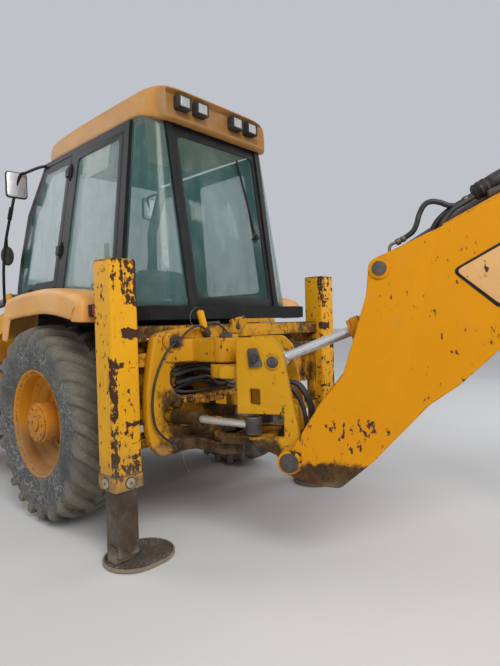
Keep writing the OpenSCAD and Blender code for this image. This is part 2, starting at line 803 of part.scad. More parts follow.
module front_tyre(side) {
    color(rubber) wheel_place(wheelbase, front_wheel_y, front_tyre_r, side)
        tyre(front_tyre_r, front_tyre_w, front_seat_r, front_lugs, front_lug_h, side);
}

// Loader arms with their cross tube and brackets
module loader_arms() {
    color(yellow) at_rear_axle() {
        both_sides() {
            plate(arm_y - arm_t, arm_y + arm_t) difference() {
                union() {
                    polygon([
                        [1180, 1470], [1500, 1395], [2640, 1125], [3260, 255], [3400, 375],
                        [2905, 1175], [2720, 1290], [1560, 1575], [1180, 1650]
                    ]);
                    disc(arm_pin, 90);
                    disc(bucket_pin, 85);
                }
                disc(arm_pin, 38 + clear);
                disc(bucket_pin, 30 + clear);
            }
            // Brackets for the rams, outside the eyes
            for (y = [arm_y - arm_t - 20, arm_y + arm_t]) {
                plate(y, y + 20) polygon([[1490, 1500], [1650, 1500], [1610, 1710], [1510, 1710]]);
                plate(y, y + 20) polygon([[2310, 1260], [2490, 1220], [2450, 980], [2350, 980]]);
            }
            for (s = [-1, 1]) cross_pin(lift_eye, 40, arm_y + s * (arm_t + 24) - 4, arm_y + s * (arm_t + 24) + 4);
            cross_pin(tilt_base, 24, arm_y - arm_t - 22, arm_y + arm_t + 22);
            cross_pin(lever_pin, 32, arm_y - 84, arm_y + 84);
        }
        cross_pin([2871, 925], 43, -arm_y + arm_t, arm_y - arm_t);
    }
}

module lift_barrels() {
    color("dimgrey") at_rear_axle() both_sides() translate([0, arm_y, 0])
        aim(lift_base, lift_eye) ram_barrel(1040, 44, 27, 50, 50, 80, 25);
}

module lift_rods() {
    color(steel) at_rear_axle() both_sides() translate([0, arm_y, 0])
        aim(lift_base, lift_eye) ram_rod(dist(lift_base, lift_eye), 1020, 27, 44, 76, 25);
}

module tilt_barrels() {
    color("dimgrey") at_rear_axle() both_sides() translate([0, arm_y, 0])
        aim(tilt_base, lever_top) ram_barrel(1210, 40, 24, 600, 46, 80, 24);
}

module tilt_rods() {
    color(steel) at_rear_axle() both_sides() translate([0, arm_y, 0])
        aim(tilt_base, lever_top) ram_rod(dist(tilt_base, lever_top), 600, 24, 42, 76, 22);
}

module tilt_levers() {
    color(yellow) at_rear_axle() both_sides() for (y = [arm_y - 80, arm_y + 60]) plate(y, y + 20) difference() {
        link_outline(lever_pin, 62, lever_top, 52);
        disc(lever_pin, 32 + clear);
        disc(lever_top, 22);
    }
}

module tilt_links() {
    color(yellow) at_rear_axle() both_sides() for (y = [arm_y - 110, arm_y + 90]) plate(y, y + 20) difference() {
        link_outline(bucket_ear, 48, lever_top, 48);
        disc(bucket_ear, 25 + clear);
        disc(lever_top, 22);
    }
}

module loader_bucket() {
    t = bucket_t;
    half = bucket_w / 2;
    color(yellow) at_rear_axle() {
        difference() {
            plate(-half, half) polygon([
                [lip_x, 4], [3620, 4], [3530, 40], [3485, 120], [3480, 620], [3540, 860], [3600, 905],
                [3640, 905], [3640, 880], [3900, 500], [lip_x, 24]
            ]);
            plate(-half + t, half - t) polygon([
                [lip_x + 20, 24], [3625, 24], [3545, 56], [3505, 125], [3500, 618], [3558, 850], [3605, 886],
                [3700, 920], [lip_x + 20, 920]
            ]);
        }
        both_sides() {
            for (y = [arm_y - 75, arm_y + 50]) plate(y, y + 25) polygon([
                [3270, 260], [3330, 245], [3485, 200], [3485, 640], [3350, 720], [3250, 700], [3240, 600]
            ]);
            cross_pin(bucket_pin, 30, arm_y - 80, arm_y + 80);
            for (s = [-1, 1]) cross_pin(bucket_ear, 25, arm_y + s * 82 - 32, arm_y + s * 82 + 32);
        }
    }
}

// Hoe carriage on the rear frame's rails, with the kingpost arms
module carriage() {
    x0 = -1095;
    x1 = -1031;
    color(yellow) at_rear_axle() translate([0, slew_y, 0]) difference() {
        union() {
            slab(x0, x1, -385, 385, 605, 1290);
            translate([0, 0, 1140]) linear_extrude(140) polygon(carriage_arm(90, x0));
            translate([0, 0, 605]) linear_extrude(70) polygon(carriage_arm(95, x0));
            translate([-slew_back, 0, 1140]) cylinder(r = 90, h = 140);
            translate([-slew_back, 0, 605]) cylinder(r = 95, h = 70);
            // Pins of the slewing joint
            translate([-slew_back, 0, 1035]) cylinder(r = 40, h = 270);
            translate([-slew_back, 0, 590]) cylinder(r = 40, h = 155);
            // Sliding pads on the rails
            for (y = [-330, 250]) {
                slab(x1, -1020.4, y, y + 80, 1280, 1290);
                slab(x1, -1020.4, y, y + 80, 1130, 1195);
                slab(x1, -1020.4, y, y + 80, 650, 690);
            }
        }
        slab(x0 - 1, x1 + 1, -320, 320, 880, 1120);
        slab(x0 - 1, x1 + 1, -330, 330, slew_ram_z - trunnion_h - 0.5, slew_ram_z + trunnion_h + 0.5);
    }
}

// Plan of a kingpost arm: as wide as the casting at its face, and clear of the swing post's turn.
function carriage_arm(half, face) = [
    [-slew_back, -half], [face - 80, -half - 15], [face - 35, -300], [face, -370],
    [face, 370], [face - 35, 300], [face - 80, half + 15], [-slew_back, half]
];

module slew_ram_place(side) {
    eye = slew_eye_r * [cos(slew_turn - side * slew_eye_turn), -sin(slew_turn - side * slew_eye_turn)];
    base = [trunnion[0], side * trunnion[1]];
    d = eye - base;
    at_rear_axle() translate([-slew_back - base[0], slew_y + base[1], slew_ram_z])
        rotate([0, 0, 180 - atan2(d[1], d[0])]) children();
}

function slew_ram_len(side) = dist(
    [trunnion[0], side * trunnion[1]],
    slew_eye_r * [cos(slew_turn - side * slew_eye_turn), -sin(slew_turn - side * slew_eye_turn)]
);

module slew_barrel(side) {
    color(yellow) slew_ram_place(side) difference() {
        union() {
            translate([-300, 0, 0]) rotate([0, 90, 0]) cylinder(r = 42, h = 495);
            translate([0, 0, -trunnion_h]) cylinder(r = 24, h = 2 * trunnion_h);
        }
        translate([-288, 0, 0]) rotate([0, 90, 0]) cylinder(r = 22.5 + bore_gap, h = 600);
    }
}

module slew_rod(side) {
    l = slew_ram_len(side);
    color(steel) slew_ram_place(side) difference() {
        union() {
            translate([l - 545, 0, 0]) rotate([0, 90, 0]) cylinder(r = 22.5, h = 545 - 30);
            translate([l, 0, -46]) cylinder(r = 44, h = 92);
        }
        translate([l, 0, -60]) cylinder(r = 20, h = 120);
    }
}

module swing_post() {
    inside = cheek_o - 40;
    color(yellow) hoe_frame() {
        for (o = [-cheek_o, inside]) hoe_plate(o, o + 40) difference() {
            union() {
                polygon([
                    [110, 1268], [300, 1268], [385, 1200], [390, 1120], [458, 760], [462, 690],
                    [400, 640], [372, 630], [200, 690], [160, 740], [110, 900]
                ]);
                disc(boom_foot, 72);
            }
            polygon([[0, 738], [375, 738], [375, 862], [0, 862]]);
            disc(boom_foot, 30);
        }
        // Webs round the slewing axis, above and below the slewing rams
        difference() {
            union() {
                slab(0, 250, -inside, inside, 1050, 1130);
                slab(0, 400, -inside, inside, 868, 905);
                slab(0, 300, -inside, inside, 682, 732);
                translate([0, 0, 1050]) cylinder(r = 95, h = 80);
                translate([0, 0, 682]) cylinder(r = 90, h = 50);
            }
            translate([0, 0, 500]) cylinder(r = 40 + clear, h = 900);
            slab(-200, 200, -300, 300, 860, 910);
        }
        // Spine behind the slewing rams' eyes
        slab(400, 440, -inside, inside, 740, 905);
        cross_pin(boom_foot, 30, -255, 255);
        for (s = [-1, 1]) translate([ram_head[0], s * (cheek_o + 4), ram_head[1]]) rotate([90, 0, 0])
            translate([0, 0, -4]) cylinder(r = 45, h = 8);
    }
}

// The boom's side outline
boom_low = [
    [450, 530], [560, 500], [670, 490], [850, 645], [1120, 935], [1260, 1035], [1440, 1206],
    boom_tip - [410, 480], boom_tip - [60, 95]
];
boom_high = [
    boom_tip + [-40, 110], boom_tip + [-260, -20], [1450, 1940], [990, 1728], [840, 1660], [810, 1570],
    [780, 1370], [710, 1090], [580, 930], [430, 680]
];
boom_plate = 16;

module boom() {
    inside = boom_o - 25;
    color(orange) hoe_frame() {
        for (o = [-boom_o, inside]) hoe_plate(o, o + 25) difference() {
            union() {
                polygon(concat(boom_low, [boom_tip + [70, -40], boom_tip + [60, 70]], boom_high));
                disc(boom_foot, 65);
                disc(boom_tip, 90);
            }
            disc(boom_foot, 30 + clear);
            disc(boom_tip, 32);
        }
        // Foot bosses
        for (s = [-1, 1]) translate([boom_foot[0], s * (boom_o + 12), boom_foot[1]]) rotate([90, 0, 0])
            translate([0, 0, -12]) difference() {
                cylinder(r = 65, h = 24);
                translate([0, 0, -1]) cylinder(r = 30 + clear, h = 26);
            }
        // Lower plate from the foot to the tip
        hoe_plate(-inside, inside) polygon([
            [868, 665], [1120, 935], [1260, 1035], [1440, 1206], boom_tip - [410, 480],
            boom_tip - [410 + boom_plate, 480 - boom_plate], [1426, 1220], [1248, 1050],
            [1107, 950], [854, 679]
        ]);
        // Upper plate
        hoe_plate(-inside, inside) polygon([[1560, 1925], [1760, 2035], [1767, 2023], [1567, 1913]]);
        cross_pin(boom_tip, 32, -boom_o - 14, boom_o + 14);
        cross_pin(ram_foot, 32, -boom_o - 6, boom_o + 6);
        cross_pin(dipper_ram_foot, 30, -boom_o - 8, boom_o + 8);
    }
}

module boom_barrel() {
    color("dimgrey") hoe_frame() aim(ram_foot, ram_head) ram_barrel(1160, 62, 28, 200, 56, 110, 32);
}

module boom_rod() {
    color(steel) hoe_frame() aim(ram_foot, ram_head)
        ram_rod(dist(ram_foot, ram_head), 1075, 28, 55, 100, 28);
}

module dipper() {
    color(orange) hoe_frame() difference() {
        union() {
            hoe_plate(-dipper_o, dipper_o) polygon([
                [2400, 800], [2520, 800], [2570, 1120], [2640, 1700], [2720, 2060], [2720, 2180],
                [2700, 2420], dipper_lug + [70, -20], dipper_lug + [40, 62], dipper_lug + [-30, 68],
                dipper_lug + [-72, 0], [2420, 2450], [2370, 2300], [2390, 1700], [2400, 1120]
            ]);
            cross_pin(hoe_pin, 75, -dipper_o, dipper_o);
            cross_pin(boom_tip, 100, -boom_o + 29, boom_o - 29);
        }
        cross_pin(boom_tip, 32 + clear, -boom_o, boom_o);
        cross_pin(hoe_pin, 28 + clear, -boom_o, boom_o);
        // Forks for the two rams
        slab(2300, 2760, -50, 50, 2480, 2900);
        hoe_plate(-50, 50) polygon([
            [2560, 2300], [2560, 2000], [2600, 1700], [2615, 1480], [2900, 1480], [2900, 2300]
        ]);
        cross_pin(dipper_lug, 110, -50, 50);
    }
    color(steel) hoe_frame() {
        for (s = [-1, 1]) translate([dipper_lug[0], s * (dipper_o + 5), dipper_lug[1]]) rotate([90, 0, 0])
            translate([0, 0, -5]) cylinder(r = 40, h = 10);
        cross_pin(tip_ram_foot, 25, -dipper_o - 8, dipper_o + 8);
        cross_pin(tip_lever_pin, 28, -dipper_o - 36, dipper_o + 36);
    }
}

module dipper_barrel() {
    color("dimgrey") hoe_frame() aim(dipper_ram_foot, dipper_lug) ram_barrel(1250, 56, 28, 500, 60, 100, 30);
}

module dipper_rod() {
    color(steel) hoe_frame() aim(dipper_ram_foot, dipper_lug)
        ram_rod(dist(dipper_ram_foot, dipper_lug), 865, 28, 52, 90, 28);
}

module tip_barrel() {
    color("dimgrey") hoe_frame() aim(tip_ram_foot, tip_lever_end) ram_barrel(815, 42, 24, 190, 46, 90, 25);
}

module tip_rod() {
    color(steel) hoe_frame() aim(tip_ram_foot, tip_lever_end)
        ram_rod(dist(tip_ram_foot, tip_lever_end), 680, 24, 44, 84, 25);
}

module tip_levers() {
    color(yellow) hoe_frame() for (o = [-dipper_o - 30, dipper_o + 10]) hoe_plate(o, o + 20) difference() {
        link_outline(tip_lever_pin, 52, tip_lever_end, 48);
        disc(tip_lever_pin, 28 + clear);
        disc(tip_lever_end, 25);
    }
}

module tip_link() {
    color(yellow) hoe_frame() for (o = [-dipper_o - 62, dipper_o + 40]) hoe_plate(o, o + 22) difference() {
        link_outline(hoe_ear, 50, tip_lever_end, 50);
        disc(hoe_ear, 25 + clear);
        disc(tip_lever_end, 25);
    }
}

// The bucket's own frame: X towards the teeth, Y towards its back.
module hoe_bucket() {
    half = hoe_bucket_w / 2;
    teeth_turn = 232;
    t = bucket_t;
    color(dark) hoe_frame() translate([hoe_pin[0], 0, hoe_pin[1]]) rotate([0, -teeth_turn, 0]) {
        difference() {
            hoe_plate(-half, half) polygon([
                [860, 100], [720, 360], [640, 470], [520, 530], [300, 540], [180, 480], [110, 390], [100, -20],
                [120, -20], [520, 60]
            ]);
            hoe_plate(-half + t, half - t) polygon([
                [880, 60], [700, 350], [630, 450], [515, 510], [305, 518], [195, 465], [130, 380], [122, -40],
                [880, -40]
            ]);
        }
        // Teeth
        for (k = [0 : 4]) translate([0, -half + 30 + k * (2 * half - 60) / 4, 0]) rotate([90, 0, 0])
            translate([0, 0, -25]) linear_extrude(50) polygon([[835, 140], [950, 0], [850, 80], [815, 128]]);
        // Ears and pins
        for (o = [-dipper_o - 35, dipper_o + 15]) hoe_plate(o, o + 20) polygon([
            [-20, -44], [40, -60], [104, 20], [104, 385], [20, 320], [-30, 270], [-70, 20], [-46, -12]
        ]);
        cross_pin([0, 0], 28, -dipper_o - 36, dipper_o + 36);
        cross_pin(240 * [cos(79), sin(79)], 25, -dipper_o - 66, dipper_o + 66);
    }
}

module leg(side) {
    w = leg_inner / 2;
    color(steel) at_rear_axle() translate([-984, side * leg_y, 0]) {
        slab(-w, w, -w, w, 60, 1215);
        // Pad, set inboard, with its pivot
        hull() for (y = [-136, -66]) translate([-10, side * y, 0]) cylinder(r = 180, h = 25);
        slab(-40, 40, -w - 12, w + 12, 25, 120);
        translate([-w - 14, 0, 100]) rotate([0, 90, 0]) cylinder(r = 22, h = 2 * w + 28);
    }
}

chassis();
rear_frame();
rear_axle();
front_axle();
engine();
nose();
bonnet();
cab_frame();
cab_floor();
cab_roof();
cab_windows();
seat();
controls();
door(1);  // door_left
door(-1);  // door_right
door_glass(1);  // door_glass_left
door_glass(-1);  // door_glass_right
fenders();
tanks_and_steps();
exhaust();
mirrors();
lamps();
knuckle(1);  // knuckle_left
knuckle(-1);  // knuckle_right
rear_rim(1);  // rear_rim_left
rear_rim(-1);  // rear_rim_right
front_rim(1);  // front_rim_left
front_rim(-1);  // front_rim_right
rear_tyre(1);  // rear_tyre_left
rear_tyre(-1);  // rear_tyre_right
front_tyre(1);  // front_tyre_left
front_tyre(-1);  // front_tyre_right
loader_arms();
lift_barrels();
lift_rods();
tilt_barrels();
tilt_rods();
tilt_levers();
tilt_links();
loader_bucket();
carriage();
slew_barrel(1);  // slew_barrel_left
slew_barrel(-1);  // slew_barrel_right
slew_rod(1);  // slew_rod_left
slew_rod(-1);  // slew_rod_right
swing_post();
boom();
boom_barrel();
boom_rod();
dipper();
dipper_barrel();
dipper_rod();
tip_barrel();
tip_rod();
tip_levers();
tip_link();
hoe_bucket();
leg(1);  // leg_left
leg(-1);  // leg_right
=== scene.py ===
import math

import bmesh
import bpy
import numpy as np
from mathutils import Matrix, Vector


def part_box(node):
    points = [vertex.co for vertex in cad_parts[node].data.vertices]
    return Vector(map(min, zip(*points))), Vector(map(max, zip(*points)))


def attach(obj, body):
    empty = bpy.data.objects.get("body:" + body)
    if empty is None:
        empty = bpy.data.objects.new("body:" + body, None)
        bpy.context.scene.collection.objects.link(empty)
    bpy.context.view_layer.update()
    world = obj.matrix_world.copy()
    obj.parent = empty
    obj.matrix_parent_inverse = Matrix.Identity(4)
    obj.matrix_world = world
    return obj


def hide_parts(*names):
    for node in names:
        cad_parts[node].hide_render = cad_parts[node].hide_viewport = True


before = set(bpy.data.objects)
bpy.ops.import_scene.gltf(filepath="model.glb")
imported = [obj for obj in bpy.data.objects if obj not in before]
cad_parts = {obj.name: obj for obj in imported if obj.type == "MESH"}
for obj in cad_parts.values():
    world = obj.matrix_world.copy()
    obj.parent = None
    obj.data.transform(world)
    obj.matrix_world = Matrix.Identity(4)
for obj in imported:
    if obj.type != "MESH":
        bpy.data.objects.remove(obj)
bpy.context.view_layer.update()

# Frames of the machine's parts. Lengths below are in millimetres, as a workshop writes them.

METRE = 0.001
RIM_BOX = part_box("rear_rim_left")
REAR_AXLE = [(RIM_BOX[0].x + RIM_BOX[1].x) / 2, (RIM_BOX[0].z + RIM_BOX[1].z) / 2]
SLEW_TURN = math.radians(28)
SLEW_AXIS = (-1360, 500)
SIDES = (("left", 1), ("right", -1))


class Place:
    """Where a part's own millimetres lie: an origin and three directions, in the axle's frame."""

    def __init__(self, origin=(0, 0, 0), x=(1, 0, 0), y=(0, 1, 0), z=(0, 0, 1)):
        self.origin = np.array(origin, float)
        self.axes = np.array([x, y, z], float)

    def point(self, points):
        """A point is the origin and its three coordinates along the directions."""
        return self.origin + np.asarray(points, float) @ self.axes


AXLE = Place()
# The hoe's own frame: its X runs out along the boom as it is parked, from the kingpost
OUTWARDS = (-math.cos(SLEW_TURN), -math.sin(SLEW_TURN), 0)
LEFTWARDS = (-math.sin(SLEW_TURN), math.cos(SLEW_TURN), 0)
HOE = Place((*SLEW_AXIS, 0), OUTWARDS, LEFTWARDS)
UPRIGHT = Place(x=(1, 0, 0), y=(0, 0, 1), z=(0, 1, 0))  # outlines of [x, y] between two heights
FACING = Place(x=(0, 1, 0), y=(1, 0, 0), z=(0, 0, 1))  # outlines of [y, height] between two distances along X


def to_row(points):
    """The row frame's metres: the axle frame's millimetres, moved to where the rear axle lies."""
    return np.asarray(points, float) * METRE + [REAR_AXLE[0], 0, 0]


# Shapes. Each returns its points in millimetres and its faces as lists of indices.


def grid_faces(rows, cols, wrap_rows=False, wrap_cols=False):
    """Four neighbours of a rows by cols grid make a face, the last with the first where it wraps."""
    i, j = np.meshgrid(
        np.arange(rows - (not wrap_rows)), np.arange(cols - (not wrap_cols)), indexing="ij"
    )
    i, j = i.ravel(), j.ravel()
    below, right = (i + 1) % rows, (j + 1) % cols
    corners = [i * cols + j, below * cols + j, below * cols + right, i * cols + right]
    return np.stack(corners, 1).tolist()


def together(*shapes):
    """One shape of several: points in turn, faces moved on by the points before them."""
    points, faces, count = [], [], 0
    for some_points, some_faces in shapes:
        points.append(np.asarray(some_points, float))
        faces += [[k + count for k in face] for face in some_faces]
        count += len(some_points)
    return np.concatenate(points), faces


def turned(profile, steps=64):
    """A profile of [radius, along] spun round the Y axis, which is along."""
    profile = np.asarray(profile, float)
    angle = np.linspace(0, 2 * np.pi, steps, endpoint=False)
    radius, along = profile[:, 0], profile[:, 1]
    points = np.stack(
        [
            np.outer(np.cos(angle), radius),
            np.broadcast_to(along, (steps, len(along))),
            np.outer(np.sin(angle), radius),
        ],
        -1,
    )
    return points.reshape(-1, 3), grid_faces(steps, len(profile), wrap_rows=True)


def along_y_to(shape, origin, direction):
    """A shape drawn along +Y from the origin, moved and turned so that +Y points in the direction."""
    y = np.array(direction, float)
    y /= np.linalg.norm(y)
    helper = np.array([0.0, 0, 1]) if abs(y[2]) < 0.9 else np.array([1.0, 0, 0])
    x = np.cross(y, helper)
    x /= np.linalg.norm(x)
    z = np.cross(x, y)
    points, faces = shape
    return np.asarray(origin, float) + points @ np.array([x, y, z]), faces


def drum(a, b, radius, edge=3.0, steps=40, hollow=0.0):
    """A round bar from a to b with rounded rims, bored through where hollow is given."""
    a, b = np.array(a, float), np.array(b, float)
    length = np.linalg.norm(b - a)
    turn = np.linspace(0, np.pi / 2, 4)
    low = [[radius - edge + edge * math.sin(t), edge - edge * math.cos(t)] for t in turn]
    high = [[r, length - y] for r, y in reversed(low)]
    rim = low + high
    profile = [[hollow, 0]] + rim + [[hollow, length]]
    if hollow:
        profile.append([hollow, 0])
    return along_y_to(turned(profile, steps), a, b - a)


def crossbar(x, z, low, high, radius, **shape):
    """A round bar that lies along Y, between two offsets."""
    return drum((x, low, z), (x, high, z), radius, **shape)


def curve_through(knots, steps=12):
    """A smooth path through the knots: between two knots a cubic, which leaves each of them along the chord
    of its neighbours."""
    knots = np.asarray(knots, float)
    ends = np.vstack([2 * knots[0] - knots[1], knots, 2 * knots[-1] - knots[-2]])
    p0, p1, p2, p3 = ends[:-3], ends[1:-2], ends[2:-1], ends[3:]
    t = np.linspace(0, 1, steps, endpoint=False)[None, :, None]
    path = 0.5 * (
        2 * p1[:, None]
        + (p2 - p0)[:, None] * t
        + (2 * p0 - 5 * p1 + 4 * p2 - p3)[:, None] * t**2
        + (3 * p1 - p0 - 3 * p2 + p3)[:, None] * t**3
    )
    return np.vstack([path.reshape(-1, knots.shape[1]), knots[-1:]])


def tube(path, radius, sides=12):
    """A circle of the radius carried along the path, square to it, and closed at both ends."""
    path = np.asarray(path, float)
    radius = np.broadcast_to(np.asarray(radius, float), (len(path),))
    ahead = np.gradient(path, axis=0)
    ahead /= np.linalg.norm(ahead, axis=1)[:, None]
    flat = np.linalg.eigh(ahead.T @ ahead)[1][:, 0]
    side = np.cross(ahead, flat)
    side /= np.linalg.norm(side, axis=1)[:, None]
    up = np.cross(side, ahead)
    angle = np.linspace(0, 2 * np.pi, sides, endpoint=False)
    ring = np.cos(angle)[None, :, None] * side[:, None] + np.sin(angle)[None, :, None] * up[:, None]
    points = (path[:, None] + radius[:, None, None] * ring).reshape(-1, 3)
    faces = grid_faces(len(path), sides, wrap_cols=True)
    last = (len(path) - 1) * sides
    faces.append(list(range(sides)))
    faces.append([last + k for k in range(sides)])
    return points, faces


def hose(knots, radius, sides=12, steps=12):
    """A tube along the smooth path through the knots."""
    return tube(curve_through(knots, steps), radius, sides)


def rounded(outline, radius, steps=6):
    """An outline whose corners are arcs: each corner gives way to a quarter-like arc between its two sides.
    The third number of a point, where there is one, is that corner's own radius."""
    made = []
    count = len(outline)
    for k, corner in enumerate(outline):
        r = corner[2] if len(corner) > 2 else radius
        here = np.array(corner[:2], float)
        before = np.array(outline[k - 1][:2], float) - here
        after = np.array(outline[(k + 1) % count][:2], float) - here
        lb, la = np.linalg.norm(before), np.linalg.norm(after)
        before, after = before / lb, after / la
        half = math.acos(max(-1, min(1, float(before @ after)))) / 2
        if r <= 0 or half > math.radians(88):
            made.append(here)
            continue
        reach = min(r / math.tan(half), 0.49 * lb, 0.49 * la)
        share = np.linspace(0, 1, steps + 1)[:, None]
        start, end = here + before * reach, here + after * reach
        made += list((1 - share) ** 2 * start + 2 * share * (1 - share) * here + share**2 * end)
    return np.array(made)


def circle(centre, radius, steps=40):
    """Points round a centre at the radius."""
    angle = np.linspace(0, 2 * np.pi, steps, endpoint=False)
    return np.stack([centre[0] + radius * np.cos(angle), centre[1] + radius * np.sin(angle)], 1)


def plate(outline, low, high, holes=(), edge=3.0, corner=0.0):
    """A flat plate between two offsets along Y: an outline of [along, height], holes in it, rounded edges."""
    outline = rounded(outline, corner) if corner or any(len(p) > 2 for p in outline) else outline
    curve = bpy.data.curves.new("outline", "CURVE")
    curve.dimensions = "2D"
    curve.fill_mode = "BOTH"
    for points in [outline, *holes]:
        points = np.asarray(points, float)[:, :2]
        spline = curve.splines.new("POLY")
        spline.points.add(len(points) - 1)
        rows = np.column_stack([points, np.zeros(len(points)), np.ones(len(points))])
        spline.points.foreach_set("co", rows.ravel())
        spline.use_cyclic_u = True
    edge = min(edge, (high - low) * 0.45)
    curve.extrude = (high - low) / 2 - edge
    curve.bevel_depth = edge
    curve.offset = -edge
    curve.bevel_resolution = 2
    drawn = bpy.data.objects.new("outline", curve)
    bpy.context.scene.collection.objects.link(drawn)
    mesh = bpy.data.meshes.new_from_object(drawn.evaluated_get(bpy.context.evaluated_depsgraph_get()))
    flat = np.zeros(3 * len(mesh.vertices))
    mesh.vertices.foreach_get("co", flat)
    flat = flat.reshape(-1, 3)
    faces = [list(face.vertices) for face in mesh.polygons]
    bpy.data.objects.remove(drawn)
    bpy.data.curves.remove(curve)
    bpy.data.meshes.remove(mesh)
    return np.stack([flat[:, 0], flat[:, 2] + (low + high) / 2, flat[:, 1]], 1), faces


def block(low, high, edge=4.0):
    """A block between two corners, its upright edges and rims rounded."""
    low, high = np.array(low, float), np.array(high, float)
    outline = [[low[0], low[2]], [high[0], low[2]], [high[0], high[2]], [low[0], high[2]]]
    return plate(outline, low[1], high[1], edge=edge, corner=edge)


def placed(shape, place):
    """The same shape where the place puts it."""
    return place.point(shape[0]), shape[1]


def mirrored(shape):
    """The same shape on the other side of its Y plane."""
    return shape[0] * [1, -1, 1], shape[1]


def spun(shape, origin, x=(1, 0, 0), z=(0, 0, 1)):
    """The same shape at an origin, its X and Z turned to the given directions."""
    x, z = np.array(x, float), np.array(z, float)
    x, z = x / np.linalg.norm(x), z / np.linalg.norm(z)
    return np.asarray(origin, float) + shape[0] @ np.array([x, np.cross(z, x), z]), shape[1]


def hex_bolt(at, direction, across=24.0, height=14.0, washer=True):
    """A hexagon head on a washer, with a chamfered top, along a direction."""
    r = across / math.sqrt(3)
    head = turned([[0, 0], [r, 0], [r, height * 0.8], [r * 0.84, height], [0, height]], 6)
    shapes = [head]
    if washer:
        shapes.append(turned([[0, 0], [r * 1.35, 0], [r * 1.35, 3], [0, 3]], 20))
    return along_y_to(together(*shapes), at, direction)


# Pieces


def piece(name, shape, body, finish, place=AXLE, replaces=(), smooth=35.0, thickness=0.0):
    """One object of a shape: merged, faces outwards, sharp where it turns by more than the smooth angle."""
    points, faces = shape
    mesh = bpy.data.meshes.new(name)
    mesh.from_pydata(to_row(place.point(points)).tolist(), [], faces)
    work = bmesh.new()
    work.from_mesh(mesh)
    bmesh.ops.remove_doubles(work, verts=work.verts, dist=2e-5)
    bmesh.ops.dissolve_degenerate(work, dist=1e-6, edges=work.edges)
    bmesh.ops.recalc_face_normals(work, faces=work.faces)
    work.to_mesh(mesh)
    work.free()
    made = bpy.data.objects.new(name, mesh)
    bpy.context.scene.collection.objects.link(made)
    dress(made, body, finish, replaces, smooth, thickness)
    return made


def dress(made, body, finish, replaces=(), smooth=35.0, thickness=0.0, bevel=0.0):
    """Gives a piece its shading, its walls and rounded edges, its finish, and the body that it rides on."""
    mesh = made.data
    mesh.polygons.foreach_set("use_smooth", np.ones(len(mesh.polygons), bool))
    mesh.set_sharp_from_angle(angle=math.radians(smooth))
    if thickness:
        wall = made.modifiers.new("wall", "SOLIDIFY")
        wall.thickness = thickness * METRE
        wall.offset = -1
    if bevel:
        soft = made.modifiers.new("edges", "BEVEL")
        soft.width = bevel * METRE
        soft.segments = 2
        soft.limit_method = "ANGLE"
        soft.angle_limit = math.radians(40)
    mesh.materials.clear()
    mesh.materials.append(finish)
    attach(made, body)
    if replaces:
        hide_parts(*replaces)


def eased(node, body, finish, bevel=3.0):
    """A copy of a CAD node with its flat faces made whole and its edges rounded, in the node's stead."""
    made = bpy.data.objects.new(node + "_eased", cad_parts[node].data.copy())
    bpy.context.scene.collection.objects.link(made)
    work = bmesh.new()
    work.from_mesh(made.data)
    bmesh.ops.remove_doubles(work, verts=work.verts, dist=1e-5)
    bmesh.ops.dissolve_limit(
        work, angle_limit=math.radians(0.6), verts=work.verts, edges=work.edges, delimit={"NORMAL"}
    )
    work.to_mesh(made.data)
    work.free()
    dress(made, body, finish, (node,), smooth=30.0, bevel=bevel)
    return made


# Shader maths


class Value:
    """A number or colour that varies over a surface, so that shader maths is written as expressions."""

    def __init__(self, finish, socket):
        self.finish = finish
        self.socket = socket

    def maths(self, operation, *terms, clip=False):
        """One step of arithmetic, kept between nought and one where clip is set."""
        return self.finish.node(
            "ShaderNodeMath", {"operation": operation, "use_clamp": clip}, dict(enumerate(terms))
        )

    def __add__(self, other):
        return self.maths("ADD", self, other)

    __radd__ = __add__

    def __sub__(self, other):
        return self.maths("SUBTRACT", self, other)

    def __rsub__(self, other):
        return self.maths("SUBTRACT", other, self)

    def __mul__(self, other):
        return self.maths("MULTIPLY", self, other)

    __rmul__ = __mul__

    def clipped(self):
        """The value kept between nought and one."""
        return self.maths("ADD", self, 0, clip=True)

    def larger(self, other):
        """The larger of two values."""
        return self.maths("MAXIMUM", self, other)

    def rise(self, low, high):
        """Nought below low, one above high, and a smooth step between. High may lie below low."""
        return self.finish.node(
            "ShaderNodeMapRange",
            {"interpolation_type": "SMOOTHSTEP"},
            {"Value": self, "From Min": low, "From Max": high},
        )


